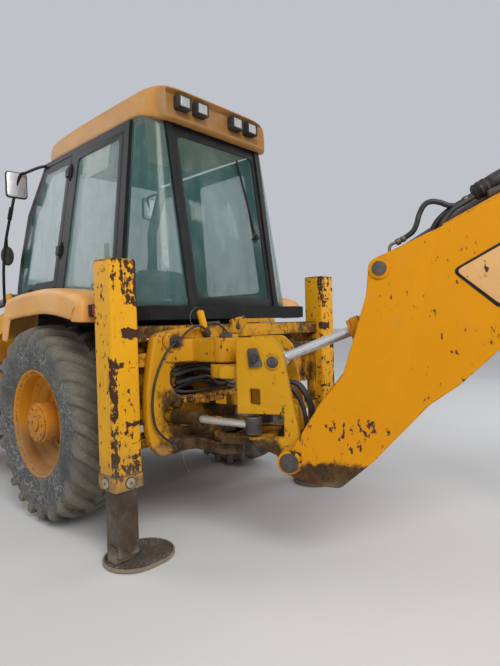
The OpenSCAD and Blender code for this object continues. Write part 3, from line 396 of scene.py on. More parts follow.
class Finish:
    """A procedural material: a Principled shader and the steps that feed it."""

    def __init__(self, name):
        self.material = bpy.data.materials.new(name)
        self.material.use_nodes = True
        self.tree = self.material.node_tree
        self.tree.nodes.clear()
        self.shader = self.tree.nodes.new("ShaderNodeBsdfPrincipled")
        self.output = self.tree.nodes.new("ShaderNodeOutputMaterial")
        self.tree.links.new(self.shader.outputs[0], self.output.inputs["Surface"])
        self.where = self.node("ShaderNodeTexCoord", out="Object")

    def node(self, kind, settings=None, sockets=None, out=0):
        """Any node: its settings first, then the values or links of its sockets."""
        made = self.tree.nodes.new(kind)
        for key, value in (settings or {}).items():
            setattr(made, key, value)
        for key, value in (sockets or {}).items():
            if isinstance(value, Value):
                self.tree.links.new(value.socket, made.inputs[key])
            else:
                made.inputs[key].default_value = value
        return Value(self, made.outputs[out])

    def mixed(self, share, low, high):
        """The low colour where the share is nought, the high one where it is one."""
        low, high = [c if isinstance(c, Value) else (*c, 1) for c in (low, high)]
        return self.node(
            "ShaderNodeMix", {"data_type": "RGBA"}, {0: share, 6: low, 7: high}, out=2
        )

    def stretched(self, stretch):
        """Object coordinates, closer together or further apart along each direction."""
        return self.node("ShaderNodeMapping", {}, {"Vector": self.where, "Scale": stretch})

    def noise(self, scale, detail=4.0, rough=0.5, stretch=None, out=0):
        """Fractal noise, its scale in waves a metre."""
        where = self.stretched(stretch) if stretch else self.where
        return self.node(
            "ShaderNodeTexNoise",
            {},
            {"Vector": where, "Scale": scale, "Detail": detail, "Roughness": rough},
            out=out,
        )

    def cells(self, scale, feature="F1", where=None, out=0):
        """Distance to the nearest of many scattered points, or to the border between their cells."""
        return self.node(
            "ShaderNodeTexVoronoi",
            {"feature": feature},
            {"Vector": where or self.where, "Scale": scale},
            out=out,
        )

    def along(self, axis):
        """One object coordinate in metres."""
        return self.node("ShaderNodeSeparateXYZ", {}, {0: self.where}, out="XYZ".index(axis))

    def facing(self, axis):
        """One part of the surface's own direction, from -1 to 1."""
        normal = self.node("ShaderNodeNewGeometry", out="Normal")
        return self.node("ShaderNodeSeparateXYZ", {}, {0: normal}, out="XYZ".index(axis))

    def within(self, centre, half, soft=0.0):
        """One inside a block given in the axle frame's millimetres, less round it, with a ragged outline."""
        inside = 1.0
        ragged = (self.noise(24, 5, 0.65) - 0.5) * 0.07
        for axis, middle, reach in zip("XYZ", to_row([centre])[0], half):
            offset = self.along(axis) - float(middle) + ragged
            far, near = reach * METRE * (1.15 + soft), reach * METRE * (0.95 - soft)
            inside = offset.maths("ABSOLUTE", offset).rise(far, near) * inside
        return inside

    def wear(self, radius):
        """One on edges and nought on flats: how far the normal of a rounded surface leaves the real one."""
        round_normal = self.node("ShaderNodeBevel", {"samples": 4}, {"Radius": radius})
        normal = self.node("ShaderNodeNewGeometry", out="Normal")
        same = self.node(
            "ShaderNodeVectorMath", {"operation": "DOT_PRODUCT"}, {0: round_normal, 1: normal}, out="Value"
        )
        return (1 - same).rise(0.01, 0.12)

    def finish(self, base, rough, bump=None, height=0.001, strength=0.6, metal=0.0, coat=0.0, **still):
        """Feeds the shader: what varies as links, what is the same all over as plain values."""
        feeds = {"Base Color": base, "Roughness": rough, "Metallic": metal, "Coat Weight": coat, **still}
        for key, value in feeds.items():
            if isinstance(value, Value):
                self.tree.links.new(value.socket, self.shader.inputs[key])
            elif key == "Base Color":
                self.shader.inputs[key].default_value = (*value, 1)
            else:
                self.shader.inputs[key].default_value = value
        if bump is not None:
            bumped = self.node(
                "ShaderNodeBump", {}, {"Height": bump, "Strength": strength, "Distance": height}
            )
            self.tree.links.new(bumped.socket, self.shader.inputs["Normal"])
        return self.material


# Finishes

RUST = (0.085, 0.032, 0.016)
BARE = (0.045, 0.032, 0.028)
DUST = (0.30, 0.24, 0.175)
MUD = (0.16, 0.105, 0.065)
RUST_RUN = (0.20, 0.075, 0.02)
SOOT = (0.016, 0.012, 0.010)
OLD_GREASE = (0.085, 0.046, 0.022)


def painted(name, colour, faded, chips=0.0, streaks=0.0, grime=0.0, rough=0.42, dust_top=0.9, edges=0.0,
            marks=(), grease=0.0, stains=()):
    """Old machine paint: uneven colour, chips down to dark steel, rust that runs down, dust low down.
    Chips are where fine noise tops a level that patches of coarse noise lower. Marks are worn places and
    stains greasy ones, each as (centre, half size, strength)."""
    f = Finish(name)
    patches = f.noise(2.3, 3)
    shade = f.noise(11, 5, 0.6)
    base = f.mixed((patches * 0.6 + shade * 0.5 - 0.1).clipped(), faded, colour)
    fine = f.noise(34, 8, 0.62, stretch=(1, 1, 0.6))
    coarse = f.noise(5.5, 2)
    level = 0.70 - chips * 0.16
    rubbed = fine + coarse * 0.32 - 0.16
    for centre, half, strength in marks:
        rubbed = rubbed + f.within(centre, half) * strength
    worn = rubbed.rise(level, level + 0.012)
    if edges:
        near_edge = f.wear(0.012) * f.noise(26, 5, 0.7).rise(0.56 - 0.2 * edges, 0.62 - 0.2 * edges)
        worn = worn.larger(near_edge)
    run = f.noise(1, 5, 0.6, stretch=(46, 46, 2.4)) * f.noise(4, 3)
    runs = run.rise(0.36 - 0.07 * streaks, 0.50 - 0.05 * streaks) * (0.75 * streaks)
    halo = rubbed.rise(level - 0.035, level) * 0.55 * min(1.0, chips + 0.3)
    tinted = f.mixed(runs.larger(halo).clipped(), base, RUST_RUN)
    steel = f.mixed(f.noise(60, 4), BARE, RUST)
    bare = f.mixed(worn, tinted, steel)
    low = f.along("Z").rise(dust_top, 0.15)
    dirt = (f.noise(7, 6, 0.65) + low * 0.55 + f.facing("Z").rise(0.2, 0.9) * 0.12 - 0.28).rise(0.30, 0.62)
    soil = f.mixed(f.noise(3, 3), DUST, MUD)
    if grease or stains:
        film = f.noise(4.2, 6, 0.68) + f.facing("Z").rise(0.1, 0.8) * 0.3 * grease
        for centre, half, strength in stains:
            film = film + f.within(centre, half, 0.45) * strength
        film = film.rise(0.80 - 0.4 * grease, 1.0 - 0.4 * grease)
        bare = f.mixed(film * 0.95, bare, f.mixed(f.noise(17, 5, 0.7).rise(0.35, 0.7), SOOT, OLD_GREASE))
    dirty = f.mixed((dirt * (0.35 + grime * 0.5)).clipped(), bare, soil)
    gloss = (worn * 0.4 + dirt * 0.35 + shade * 0.12 + rough).clipped()
    relief = f.noise(260, 2) * 0.12 + shade * 0.3 - worn * 0.7 + dirt * 0.2
    f.shader.inputs["Specular IOR Level"].default_value = 0.15
    return f.finish(dirty, gloss, relief, 0.0012, 0.7)


def moulded(name, colour, faded, rear=0.0):
    """Sun-bleached moulded plastic: chalky patches, dust in a fine grain and a few scuffs. What faces back is
    darker by the rear share: a painted shade."""
    f = Finish(name)
    chalk = f.noise(3.1, 5, 0.6)
    base = f.mixed(chalk.rise(0.3, 0.75), colour, faded)
    if rear:
        # Painted shade: faces turned backwards are mixed towards a dark brown that stands for the shadow on
        # them
        base = f.mixed(f.facing("X").rise(-0.3, -0.85) * rear, base, (0.16, 0.075, 0.015))
    up = f.facing("Z").rise(0.1, 1.0)
    dust = (f.noise(9, 6, 0.7).rise(0.42, 0.75) * (up * 0.5 + 0.22)).clipped()
    dusty = f.mixed(dust, base, (0.46, 0.38, 0.28))
    scuff = f.noise(1, 6, 0.7, stretch=(14, 60, 60)).rise(0.68, 0.71) * f.noise(3, 2).rise(0.5, 0.6)
    marked = f.mixed(scuff * 0.7, dusty, (0.14, 0.09, 0.06))
    return f.finish(marked, chalk * 0.2 + 0.44, f.noise(420, 3) * 0.4 + chalk, 0.0006, 0.5)


def dark_paint(name, colour=(0.022, 0.023, 0.024), dust=0.4, rough=0.45):
    """Black paint, dull with dust on top and in the corners."""
    f = Finish(name)
    dirt = (f.noise(6, 6, 0.68) + f.facing("Z").rise(0.3, 1.0) * 0.25).rise(0.42, 0.85) * dust
    base = f.mixed(dirt.clipped(), colour, (0.19, 0.165, 0.13))
    scratch = f.noise(1, 5, 0.7, stretch=(90, 90, 8)).rise(0.66, 0.70) * 0.4
    scratched = f.mixed(scratch, base, (0.10, 0.09, 0.08))
    f.shader.inputs["Specular IOR Level"].default_value = 0.2
    return f.finish(scratched, dirt * 0.4 + rough, f.noise(150, 3) + dirt, 0.0006, 0.5)


def grimy_steel(name, light, dark, rust=0.4, rough=0.5, metal=0.7, dust_top=0.7):
    """Worked steel: brown and grey blotches, fine lengthwise scratches, soil low down."""
    f = Finish(name)
    blotch = f.noise(7, 7, 0.65)
    base = f.mixed(blotch.rise(0.32, 0.7), dark, light)
    rusty = f.noise(19, 6, 0.7).rise(0.62 - 0.22 * rust, 0.80 - 0.2 * rust)
    browned = f.mixed((rusty * 0.8).clipped(), base, RUST)
    low = f.along("Z").rise(dust_top, 0.02)
    soil = (f.noise(8, 6, 0.7) + low * 0.4).rise(0.5, 0.85)
    soiled = f.mixed((soil * 0.7).clipped(), browned, DUST)
    scratch = f.noise(1, 4, 0.6, stretch=(120, 120, 9))
    return f.finish(
        soiled, (rusty * 0.3 + soil * 0.3 + rough).clipped(), scratch * 0.5 + blotch, 0.0008, 0.6,
        metal=((1 - rusty) * (1 - soil) * metal).clipped(),
    )


def chromed(name):
    """Ground and chromed rod: nearly a mirror, with hair scratches round it and a film of dust and oil."""
    f = Finish(name)
    film = f.noise(13, 5, 0.6).rise(0.4, 0.8)
    base = f.mixed(film * 0.6, (0.66, 0.67, 0.68), (0.42, 0.40, 0.37))
    return f.finish(base, film * 0.2 + 0.24, f.noise(900, 2), 0.0001, 0.3, metal=0.62)


def tyre_rubber(name):
    """Old tyre: grey with dried soil, a web of pale scratches, darker flanks between them."""
    f = Finish(name)
    warped = f.node(
        "ShaderNodeMix", {"data_type": "VECTOR"}, {0: 0.13, 4: f.where, 5: f.noise(11, 4, out="Color")}, out=1
    )
    web = f.cells(17, "DISTANCE_TO_EDGE", warped).rise(0.038, 0.0)
    web_fine = f.cells(31, "DISTANCE_TO_EDGE", warped).rise(0.06, 0.0) * f.noise(6, 2).rise(0.38, 0.52)
    scratches = web.larger(web_fine) * f.noise(3.3, 4).rise(0.30, 0.5)
    cake = f.noise(4.5, 8, 0.68).rise(0.36, 0.66)
    rubber = f.mixed(f.noise(40, 5, 0.7), (0.040, 0.043, 0.047), (0.082, 0.084, 0.084))
    soil = f.mixed(f.noise(14, 6, 0.7), (0.150, 0.132, 0.098), (0.235, 0.208, 0.158))
    tread = f.node("ShaderNodeAttribute", {"attribute_name": "tread"}, out="Fac")
    caked = f.mixed((cake * 0.34 + tread * 0.62 - 0.04).clipped(), rubber, soil)
    scratched = f.mixed((scratches * 0.75 * (1 - tread * 0.6)).clipped(), caked, (0.36, 0.35, 0.32))
    relief = f.noise(55, 7, 0.75) + cake * 0.5 - f.cells(90) * 0.25 + scratches * 0.2
    return f.finish(scratched, 0.86, relief, 0.003, 0.8)


def rubber_hose(name):
    """Braid-covered hose: near black, a fine spiral, dull with dust."""
    f = Finish(name)
    dirt = f.noise(14, 5, 0.65).rise(0.45, 0.8)
    base = f.mixed(dirt * 0.5, (0.020, 0.020, 0.021), (0.13, 0.115, 0.095))
    return f.finish(base, dirt * 0.3 + 0.5, f.noise(380, 2), 0.0005, 0.5)


def glazing(name, tint, dust):
    """Tinted pane: clear, with dried dust in streaks that hide what lies behind."""
    f = Finish(name)
    streak = f.noise(1, 4, 0.6, stretch=(16, 16, 2.2))
    film = (f.noise(5, 6, 0.65) * 0.6 + streak * 0.5).rise(0.42, 0.85)
    base = f.mixed(film * 0.45, tint, (0.36, 0.38, 0.35))
    alpha = (film * 0.16 + dust).clipped()
    return f.finish(base, film * 0.25 + 0.06, f.noise(3, 2), 0.0004, 0.15, Alpha=alpha)


def lamp_lens(name, colour):
    """Fluted lamp lens over a bright reflector."""
    f = Finish(name)
    flutes = f.node(
        "ShaderNodeTexWave", {"bands_direction": "Y"}, {"Vector": f.where, "Scale": 60.0, "Distortion": 0.4}
    )
    dirt = f.noise(30, 5).rise(0.45, 0.8)
    base = f.mixed(dirt * 0.4, colour, (0.34, 0.31, 0.26))
    return f.finish(base, 0.12, flutes, 0.001, 0.7, metal=0.25, coat=0.6)


def vinyl(name, colour, worn_colour):
    """Seat cover: leather-like grain, paler where it is rubbed, dust in the seams."""
    f = Finish(name)
    grain = f.cells(340)
    rubbed = f.noise(5, 5).rise(0.4, 0.7)
    base = f.mixed(rubbed, colour, worn_colour)
    return f.finish(base, rubbed * 0.1 + 0.5, grain, 0.0008, 0.6)


def soil(name):
    """Dried earth and gravel: brown ground with pale stones in it."""
    f = Finish(name)
    stones = f.cells(150, out="Color")
    stone = f.cells(150)
    tone = f.mixed(f.noise(60, 4), (0.045, 0.036, 0.028), (0.13, 0.10, 0.075))
    pale = f.mixed(0.15, (0.36, 0.34, 0.31), stones)
    base = f.mixed(stone.rise(0.40, 0.25) * f.noise(9, 3).rise(0.4, 0.6), tone, pale)
    return f.finish(base, 0.9, (1 - stone) + f.noise(300, 3) * 0.5, 0.004, 0.9)


YELLOW = (0.75, 0.345, 0.006)
YELLOW_FADED = (0.80, 0.40, 0.018)
AMBER = (0.63, 0.240, 0.001)

# Worn and greasy places, as (centre, half size, strength) in the axle frame's millimetres
TUBE_FACE = -1073
TUBE_WEAR = [
    (1082, 860, (30, 16, 320), 0.17), (1062, 1150, (30, 40, 16), 0.15), (922, 1620, (34, 16, 130), 0.16),
    (1050, 1690, (60, 34, 66), 0.12), (966, 1325, (30, 56, 26), 0.60), (968, 1512, (30, 26, 24), 0.17),
    (970, 1640, (30, 50, 90), 0.09), (960, 812, (30, 56, 12), 0.15), (968, 622, (30, 44, 12), 0.17),
    (1000, 560, (60, 100, 36), 0.10),
]
LEG_MARKS = [
    ((TUBE_FACE, side * y, z), half, strength) for _, side in SIDES for y, z, half, strength in TUBE_WEAR
]
BUCKET_MARKS = [((4050, 0, 60), (260, 1300, 120), 0.4)]
BOOM_MARKS = [((-2080, 400, 720), (260, 420, 120), 0.07)]
BOOM_STAINS = [
    ((-2080, 350, 500), (260, 560, 110), 0.62), ((-2330, 300, 730), (110, 520, 130), 0.22),
    ((-1960, 350, 800), (180, 520, 260), 0.10),
]
HOE_STAINS = [
    ((-1400, 450, 560), (420, 420, 190), 0.60), ((-1180, 520, 900), (150, 330, 120), 0.4),
    ((-1100, 840, 1120), (60, 60, 90), 0.2), ((-1120, 700, 1270), (40, 60, 60), 0.35),
]

paint = {
    "leg": painted("leg_yellow", YELLOW, YELLOW_FADED, chips=0.55, streaks=0.7, grime=0.15, edges=0.8,
                   marks=LEG_MARKS),
    "casting": painted("cast_yellow", (0.55, 0.25, 0.006), (0.62, 0.29, 0.012), chips=0.35, streaks=0.7,
                       grime=0.55, edges=0.6, dust_top=0.8, grease=0.15, stains=HOE_STAINS),
    "post": painted("post_yellow", (0.56, 0.265, 0.005), (0.64, 0.32, 0.014), chips=0.3, streaks=0.45,
                    grime=0.3, edges=0.6, dust_top=0.7, stains=HOE_STAINS),
    "rails": painted("rail_yellow", YELLOW, (0.60, 0.29, 0.02), chips=0.5, streaks=0.9, grime=0.4, edges=0.7,
                     grease=1.05),
    "greasy": painted("collar_yellow", YELLOW, (0.58, 0.28, 0.02), chips=0.8, streaks=0.8, grime=0.6,
                      edges=1.0, grease=0.95),
    "rusty": painted("rusted_yellow", YELLOW, (0.55, 0.26, 0.03), chips=1.35, streaks=1.0, grime=0.5,
                     edges=1.0),
    "boom": painted("boom_amber", AMBER, (0.70, 0.29, 0.003), chips=0.16, streaks=0.2, edges=0.35,
                    rough=0.32, dust_top=0.7, grime=0.1, marks=BOOM_MARKS, stains=BOOM_STAINS),
    "blank": painted("name_plate_paint", (0.66, 0.36, 0.13), (0.68, 0.40, 0.17), chips=0.1, streaks=0.2,
                     rough=0.4),
    "panel": painted("panel_yellow", YELLOW, YELLOW_FADED, chips=0.25, streaks=0.3, grime=0.3, edges=0.5),
    "bucket": painted("bucket_yellow", YELLOW, (0.60, 0.29, 0.02), chips=0.8, streaks=0.7, grime=0.8,
                      edges=0.9, dust_top=1.1, marks=BUCKET_MARKS),
    "rim": painted("rim_yellow", (0.56, 0.215, 0.008), (0.60, 0.25, 0.02), chips=0.25, streaks=0.2, grime=0.4,
                   dust_top=1.0, edges=0.5),
    "white": painted("rim_white", (0.55, 0.54, 0.50), (0.62, 0.61, 0.57), chips=0.5, streaks=0.6, grime=0.8),
    "nylon": painted("wear_pads", (0.50, 0.47, 0.40), (0.58, 0.55, 0.47), chips=0.2, streaks=0.6, grime=0.9,
                     rough=0.5),
    "orange": moulded("moulded_orange", (0.72, 0.32, 0.05), (0.84, 0.45, 0.14)),
    # Painted shade: the roof is a darker copy of the fenders' moulded orange, and rear=0.65 darkens its rear
    # faces further
    "roof": moulded("roof_orange_painted_shade", (0.50, 0.215, 0.025), (0.62, 0.30, 0.07), rear=0.65),
    "black": dark_paint("black_paint", (0.009, 0.010, 0.011), dust=0.10, rough=0.5),
    "plastic": dark_paint("black_plastic", (0.030, 0.030, 0.031), dust=0.5, rough=0.55),
    "dark": grimy_steel("dark_castings", (0.075, 0.065, 0.055), (0.030, 0.025, 0.022), rust=0.5, metal=0.2),
    "leg_steel": grimy_steel("leg_steel", (0.105, 0.070, 0.042), (0.045, 0.031, 0.022), rust=0.6, metal=0.1,
                             dust_top=0.12),
    "pin": grimy_steel("pin_steel", (0.115, 0.105, 0.095), (0.050, 0.045, 0.040), rust=0.35, metal=0.5),
    "rusty_dark": grimy_steel("rusty_fittings", (0.075, 0.050, 0.035), (0.025, 0.020, 0.018), rust=0.8,
                              metal=0.25),
    "steel": grimy_steel("worn_steel", (0.30, 0.27, 0.20), (0.13, 0.105, 0.07), rust=0.6),
    "ground_steel": grimy_steel("digging_steel", (0.20, 0.185, 0.165), (0.07, 0.06, 0.052), rust=0.8,
                                metal=0.5),
    "ram": grimy_steel("ram_grey", (0.12, 0.12, 0.12), (0.06, 0.058, 0.055), rust=0.3, metal=0.3),
    "chrome": chromed("ram_chrome"),
    "tyre": tyre_rubber("tyre_rubber"),
    "hose": rubber_hose("hose_rubber"),
    "sleeve": rubber_hose("hose_sleeve"),
    "glass": glazing("tinted_glass", (0.085, 0.235, 0.215), 0.26),
    "lens": lamp_lens("lamp_glass", (0.34, 0.35, 0.33)),
    "red_lens": lamp_lens("red_lamp_glass", (0.45, 0.03, 0.02)),
    "cover": vinyl("seat_cover", (0.05, 0.052, 0.055), (0.12, 0.12, 0.12)),
    "soil": soil("dried_soil"),
}

# Wheels

LUG_COLUMNS = 16  # columns of the tyre's grid from one lug to the next
REAR_TYRE = {"radius": 695, "width": 430, "seat": 356, "lugs": 24, "lug_height": 38}
FRONT_TYRE = {"radius": 482, "width": 308, "seat": 229, "lugs": 20, "lug_height": 24}
DISC_FACE = 880  # from the machine's middle to the outer face of a rear wheel's disc
CAP_REACH = 200  # from there to the end of the hub cap


def ring_of_bolts(count, radius, along, across, height, start=0.0, washer=True):
    """Bolts round the Y axis at a radius, their heads along +Y."""
    turns = [2 * math.pi * (k + start) / count for k in range(count)]
    places = [(radius * math.cos(turn), along, radius * math.sin(turn)) for turn in turns]
    return [hex_bolt(place, (0, 1, 0), across, height, washer) for place in places]


def tyre_piece(end, side_name, side, radius, width, seat, lugs, lug_height):
    """Carcass and lugs in one grid. Across the tyre a smooth profile from bead to bead; round it columns
    that lean with the lugs, by the lean times the way from the middle; a lug lifts the surface along the
    profile's normal, where its pitch share and its reach across the tread say so."""
    node = f"{end}_tyre_{side_name}"
    low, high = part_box(node)
    centre = [(low.x + high.x) / 2, (low.y + high.y) / 2, (low.z + high.z) / 2]
    base = radius - lug_height
    h = base - seat
    half = width / 2
    knots = np.array([
        [seat + 1, -half * 0.66], [seat + 2, -half * 0.80], [seat + h * 0.06, -half * 0.85],
        [seat + h * 0.2, -half * 0.92], [seat + h * 0.42, -half * 0.985], [seat + h * 0.66, -half * 0.975],
        [seat + h * 0.86, -half * 0.90], [base - h * 0.05, -half * 0.74], [base, -half * 0.42],
        [base + h * 0.01, 0],
    ])
    knots = np.vstack([knots, (knots * [1, -1])[-2::-1]])
    line = curve_through(knots, 6)
    reach = line[:, 1] / half
    slope = np.gradient(line, axis=0)
    slope /= np.linalg.norm(slope, axis=1)[:, None]
    normal = np.stack([slope[:, 1], -slope[:, 0]], 1)
    down = (base - line[:, 0]) / h
    columns = lugs * LUG_COLUMNS
    pitch = 2 * np.pi / lugs
    share = np.arange(columns) / LUG_COLUMNS
    # A lug leans by nearly its pitch between the middle and the shoulder, and a little more down the flank
    lean = 0.95 * pitch * (np.abs(reach) + 0.55 * np.clip(down, 0, 0.5))
    angle = share[:, None] * pitch - lean[None, :]
    fraction = share[:, None] % 1
    lift = np.zeros((columns, len(line)))
    # The lugs of the two flanks are half a pitch apart
    for flank, offset in ((1, 0.0), (-1, 0.5)):
        f = (fraction + offset) % 1
        across = np.clip((0.20 - np.abs(f - 0.5)) / 0.07 + 0.5, 0, 1)
        inner = np.clip((reach * flank + 0.10) / 0.10, 0, 1)
        outer = np.clip((0.42 - down) / 0.16, 0, 1)
        lift = np.maximum(lift, across * across * (3 - 2 * across) * (inner * outer)[None, :])
    wobble = np.sin(share * 7.3)[:, None] * np.cos(5 * reach)[None, :]
    height = lift * (lug_height * (0.94 + 0.06 * wobble))
    # A thin ridge runs round the flank, just above the rim
    ridge = 2.5 * np.exp(-(((line[:, 0] - seat - h * 0.13) / (h * 0.02)) ** 2))
    r = line[:, 0] + (height + ridge) * normal[:, 0]
    r = np.minimum(r, radius - 0.5)
    y = line[:, 1] + (height + ridge) * normal[:, 1]
    y = np.clip(y, -half + 0.5, half - 0.5)
    points = np.stack([r * np.cos(angle), y * side, r * np.sin(angle)], -1).reshape(-1, 3)
    faces = grid_faces(columns, len(line), wrap_rows=True, wrap_cols=True)
    at = [(centre[0] - REAR_AXLE[0]) / METRE, centre[1] / METRE, centre[2] / METRE]
    made = piece(f"{end}_tyre_lugged_{side_name}", (points, faces), f"{end}_wheel_{side_name}", paint["tyre"],
                 Place(at), (node,), smooth=60)
    # How far out a point lies, for the finish: nought on the flanks, one on the tread
    tread = made.data.attributes.new("tread", "FLOAT", "POINT")
    flat = np.zeros(3 * len(made.data.vertices), np.float32)
    made.data.vertices.foreach_get("co", flat)
    at_row = flat.reshape(-1, 3) - np.array(centre)
    out = np.hypot(at_row[:, 0], at_row[:, 2]) / METRE
    tread.data.foreach_set("value", np.clip((out - (seat + h * 0.62)) / (h * 0.25), 0, 1).astype(np.float32))


def hub_details(side_name, side):
    """A rear wheel's hub and cap in three steps, with the bolts of its disc, its hub and its cap."""
    low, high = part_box(f"rear_rim_{side_name}")
    axle = Place([0, (low.y + high.y) / 2 / METRE, REAR_AXLE[1] / METRE], y=(0, side, 0))
    disc = DISC_FACE - abs((low.y + high.y) / 2) / METRE
    cap = CAP_REACH + disc
    hub = together(
        drum((0, cap - 150, 0), (0, cap - 26, 0), 142, edge=12, steps=64),
        drum((0, cap - 40, 0), (0, cap - 10, 0), 128, edge=5, steps=64),
        drum((0, cap - 20, 0), (0, cap, 0), 52, edge=6, steps=48),
    )
    piece(f"rear_hub_{side_name}", hub, f"rear_wheel_{side_name}", paint["rim"], axle)
    bolts = ring_of_bolts(10, 108, cap - 11, 17, 9, washer=False)
    bolts += ring_of_bolts(8, 190, disc - 13, 27, 20, start=0.5)
    bolts += ring_of_bolts(3, 26, cap - 1, 14, 7, start=0.6 / math.pi)
    piece(f"rear_hub_bolts_{side_name}", together(*bolts), f"rear_wheel_{side_name}", paint["rim"],
          axle)


for side_name, side in SIDES:
    tyre_piece("rear", side_name, side, **REAR_TYRE)
    tyre_piece("front", side_name, side, **FRONT_TYRE)
    eased(f"rear_rim_{side_name}", f"rear_wheel_{side_name}", paint["rim"], bevel=2)
    eased(f"front_rim_{side_name}", f"front_wheel_{side_name}", paint["white"], bevel=1.5)
    hub_details(side_name, side)

# Cab

ROOF_OVERHANG = 22  # the roof reaches this much further back than the solid
ROOF_LIP = 46  # and hangs this much lower at its rear edge
RECESS_DEPTH, RECESS_HALF_WIDTH, RECESS_HEIGHT = 62, 486, 172
LAMP_HEIGHT = 2884  # middle of the work lamps at the rear and front
REAR_WINDOW = ((-966, 1492), (-784, 2734))  # its lower and upper edge, as (x, height)
SIDE_LEAN = math.radians(7.2)  # of the cab's sides, inwards


def roof_shell():
    """Moulded roof: level rings of a rounded rectangle whose half length, half width and corner radius
    change with height, and a recess pressed into its rear face for the work lamps."""
    low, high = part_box("cab_roof")
    rear, front = (low.x - REAR_AXLE[0]) / METRE - ROOF_OVERHANG, (high.x - REAR_AXLE[0]) / METRE
    half_y, base, top = high.y / METRE, low.z / METRE, high.z / METRE
    # Columns: height share, inset from the box
    rings = np.array([
        [0.00, 26], [0.02, 10], [0.07, 2], [0.20, 0], [0.52, 3], [0.74, 12], [0.87, 32], [0.945, 62],
        [0.98, 100], [0.995, 150], [1.0, 230],
    ])
    level = curve_through(rings, 5)
    level[:, 0] = np.clip(level[:, 0], 0, 1)
    turn = np.linspace(0, 2 * np.pi, 240, endpoint=False)
    c, s = np.cos(turn), np.sin(turn)
    power = 0.30
    x_share = np.sign(c) * np.abs(c) ** power
    y_share = np.sign(s) * np.abs(s) ** power
    scale = 1 / np.maximum(np.abs(x_share) ** 9 + np.abs(y_share) ** 9, 1e-9) ** (1 / 9)
    mid, half_x = (rear + front) / 2, (front - rear) / 2
    x = mid + np.outer(half_x - level[:, 1], x_share * scale)
    y = np.outer(half_y - level[:, 1], y_share * scale)
    z = np.broadcast_to((base + level[:, 0] * (top - base))[:, None], x.shape).copy()
    # The top falls towards the front and a little towards the sides, and the rear edge hangs down
    forward = np.clip((x - mid) / half_x, -1, 1)
    z -= np.clip(level[:, 0][:, None] - 0.15, 0, 1) * (np.clip(forward, 0, 1) ** 2) * 42
    z -= np.clip(level[:, 0][:, None] - 0.3, 0, 1) * (np.abs(y) / half_y) ** 4 * 10
    z -= np.clip(1 - level[:, 0][:, None] / 0.4, 0, 1) * np.clip((-forward - 0.72) / 0.2, 0, 1) * ROOF_LIP
    # The rear face is pushed in where the recess lies, with soft edges
    inside_y = np.clip((RECESS_HALF_WIDTH - np.abs(y)) / 30, 0, 1)
    inside_z = np.clip((z - base + 20) / 16, 0, 1) * np.clip((base + RECESS_HEIGHT - z) / 16, 0, 1)
    behind = np.clip((mid - x) / half_x - 0.55, 0, 1) > 0
    push = inside_y**2 * (3 - 2 * inside_y) * inside_z**2 * (3 - 2 * inside_z) * behind
    x = x + push * np.clip(rear + RECESS_DEPTH - x, 0, 80)
    points = np.stack([x, y, z], -1).reshape(-1, 3)
    faces = grid_faces(len(level), len(turn), wrap_cols=True)
    last = (len(level) - 1) * len(turn)
    faces.append([last + k for k in range(len(turn))])
    faces.append(list(range(len(turn))))
    piece("roof_moulding", (points, faces), "chassis", paint["roof"],
          replaces=("cab_roof",), smooth=50)


def work_lamps():
    """Square work lamps in pairs at both ends of the roof, and the tail lamps under the fenders."""
    housings, lenses, reds = [], [], []
    low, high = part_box("cab_roof")
    rear = (low.x - REAR_AXLE[0]) / METRE
    front = (high.x - REAR_AXLE[0]) / METRE
    z = LAMP_HEIGHT
    for y in (-338, -176, 176, 338):
        housings.append(block((rear - 16, y - 56, z - 47), (rear + 86, y + 56, z + 47), 12))
        housings.append(block((rear - 24, y - 54, z - 45), (rear - 12, y + 54, z - 33), 4))
        housings.append(block((rear - 24, y - 54, z + 33), (rear - 12, y + 54, z + 45), 4))
        for edge in (-1, 1):
            housings.append(block((rear - 24, y + edge * 48 - 7, z - 45),
                                  (rear - 12, y + edge * 48 + 7, z + 45), 4))
        lenses.append(block((rear - 20, y - 42, z - 34), (rear - 10, y + 42, z + 34), 3))
    for y in (-400, 400):
        housings.append(block((front - 4, y - 62, z - 42), (front + 48, y + 62, z + 42), 12))
        lenses.append(block((front + 44, y - 52, z - 33), (front + 52, y + 52, z + 33), 4))
    for y in (-970, 970):
        housings.append(block((-772, y - 72, 1428), (-737, y + 72, 1502), 6))
        reds.append(block((-779, y - 64, 1436), (-768, y + 64, 1494), 5))
    piece("lamp_housings", together(*housings), "chassis", paint["plastic"],
          replaces=("lamps",))
    piece("lamp_lenses", together(*lenses), "chassis", paint["lens"])
    piece("tail_lamp_lenses", together(*reds), "chassis", paint["red_lens"])


def fender_shell(side_name, side):
    """Rear wheel's moulded fender: a top that runs over the tyre as a smooth path, carried across from the
    cab to a rolled outer lip."""
    path = curve_through([
        [-735, 1395], [-737, 1470], [-700, 1545], [-560, 1592], [-270, 1632], [60, 1626], [300, 1608],
        [420, 1578], [485, 1480], [515, 1380], [530, 1285],
    ], 8)
    run = np.gradient(path, axis=0)
    run /= np.linalg.norm(run, axis=1)[:, None]
    normal = np.stack([-run[:, 1], run[:, 0]], 1)
    # Columns: across from the centre line, drop below the path
    section = curve_through([
        [815, 26], [822, 6], [850, 1], [960, 0], [1040, 2], [1072, 10], [1086, 30], [1089, 62], [1088, 118],
    ], 5)
    drop = np.broadcast_to(section[:, 1][None, :], (len(path), len(section))).copy()
    share = np.linspace(0, 1, len(path))[:, None]
    skirt = np.clip((section[:, 1] - 62) / 56, 0, 1)[None, :] * 55 * np.sin(np.pi * share) ** 0.5
    drop = drop + skirt
    x = path[:, 0][:, None] - normal[:, 0][:, None] * drop
    z = path[:, 1][:, None] - normal[:, 1][:, None] * drop
    y = np.broadcast_to(section[:, 0][None, :] * side, x.shape)
    points = np.stack([x, y, z], -1).reshape(-1, 3)
    faces = grid_faces(len(path), len(section))
    return piece(f"fender_{side_name}", (points, faces), "chassis", paint["orange"],
                 smooth=60, thickness=7)


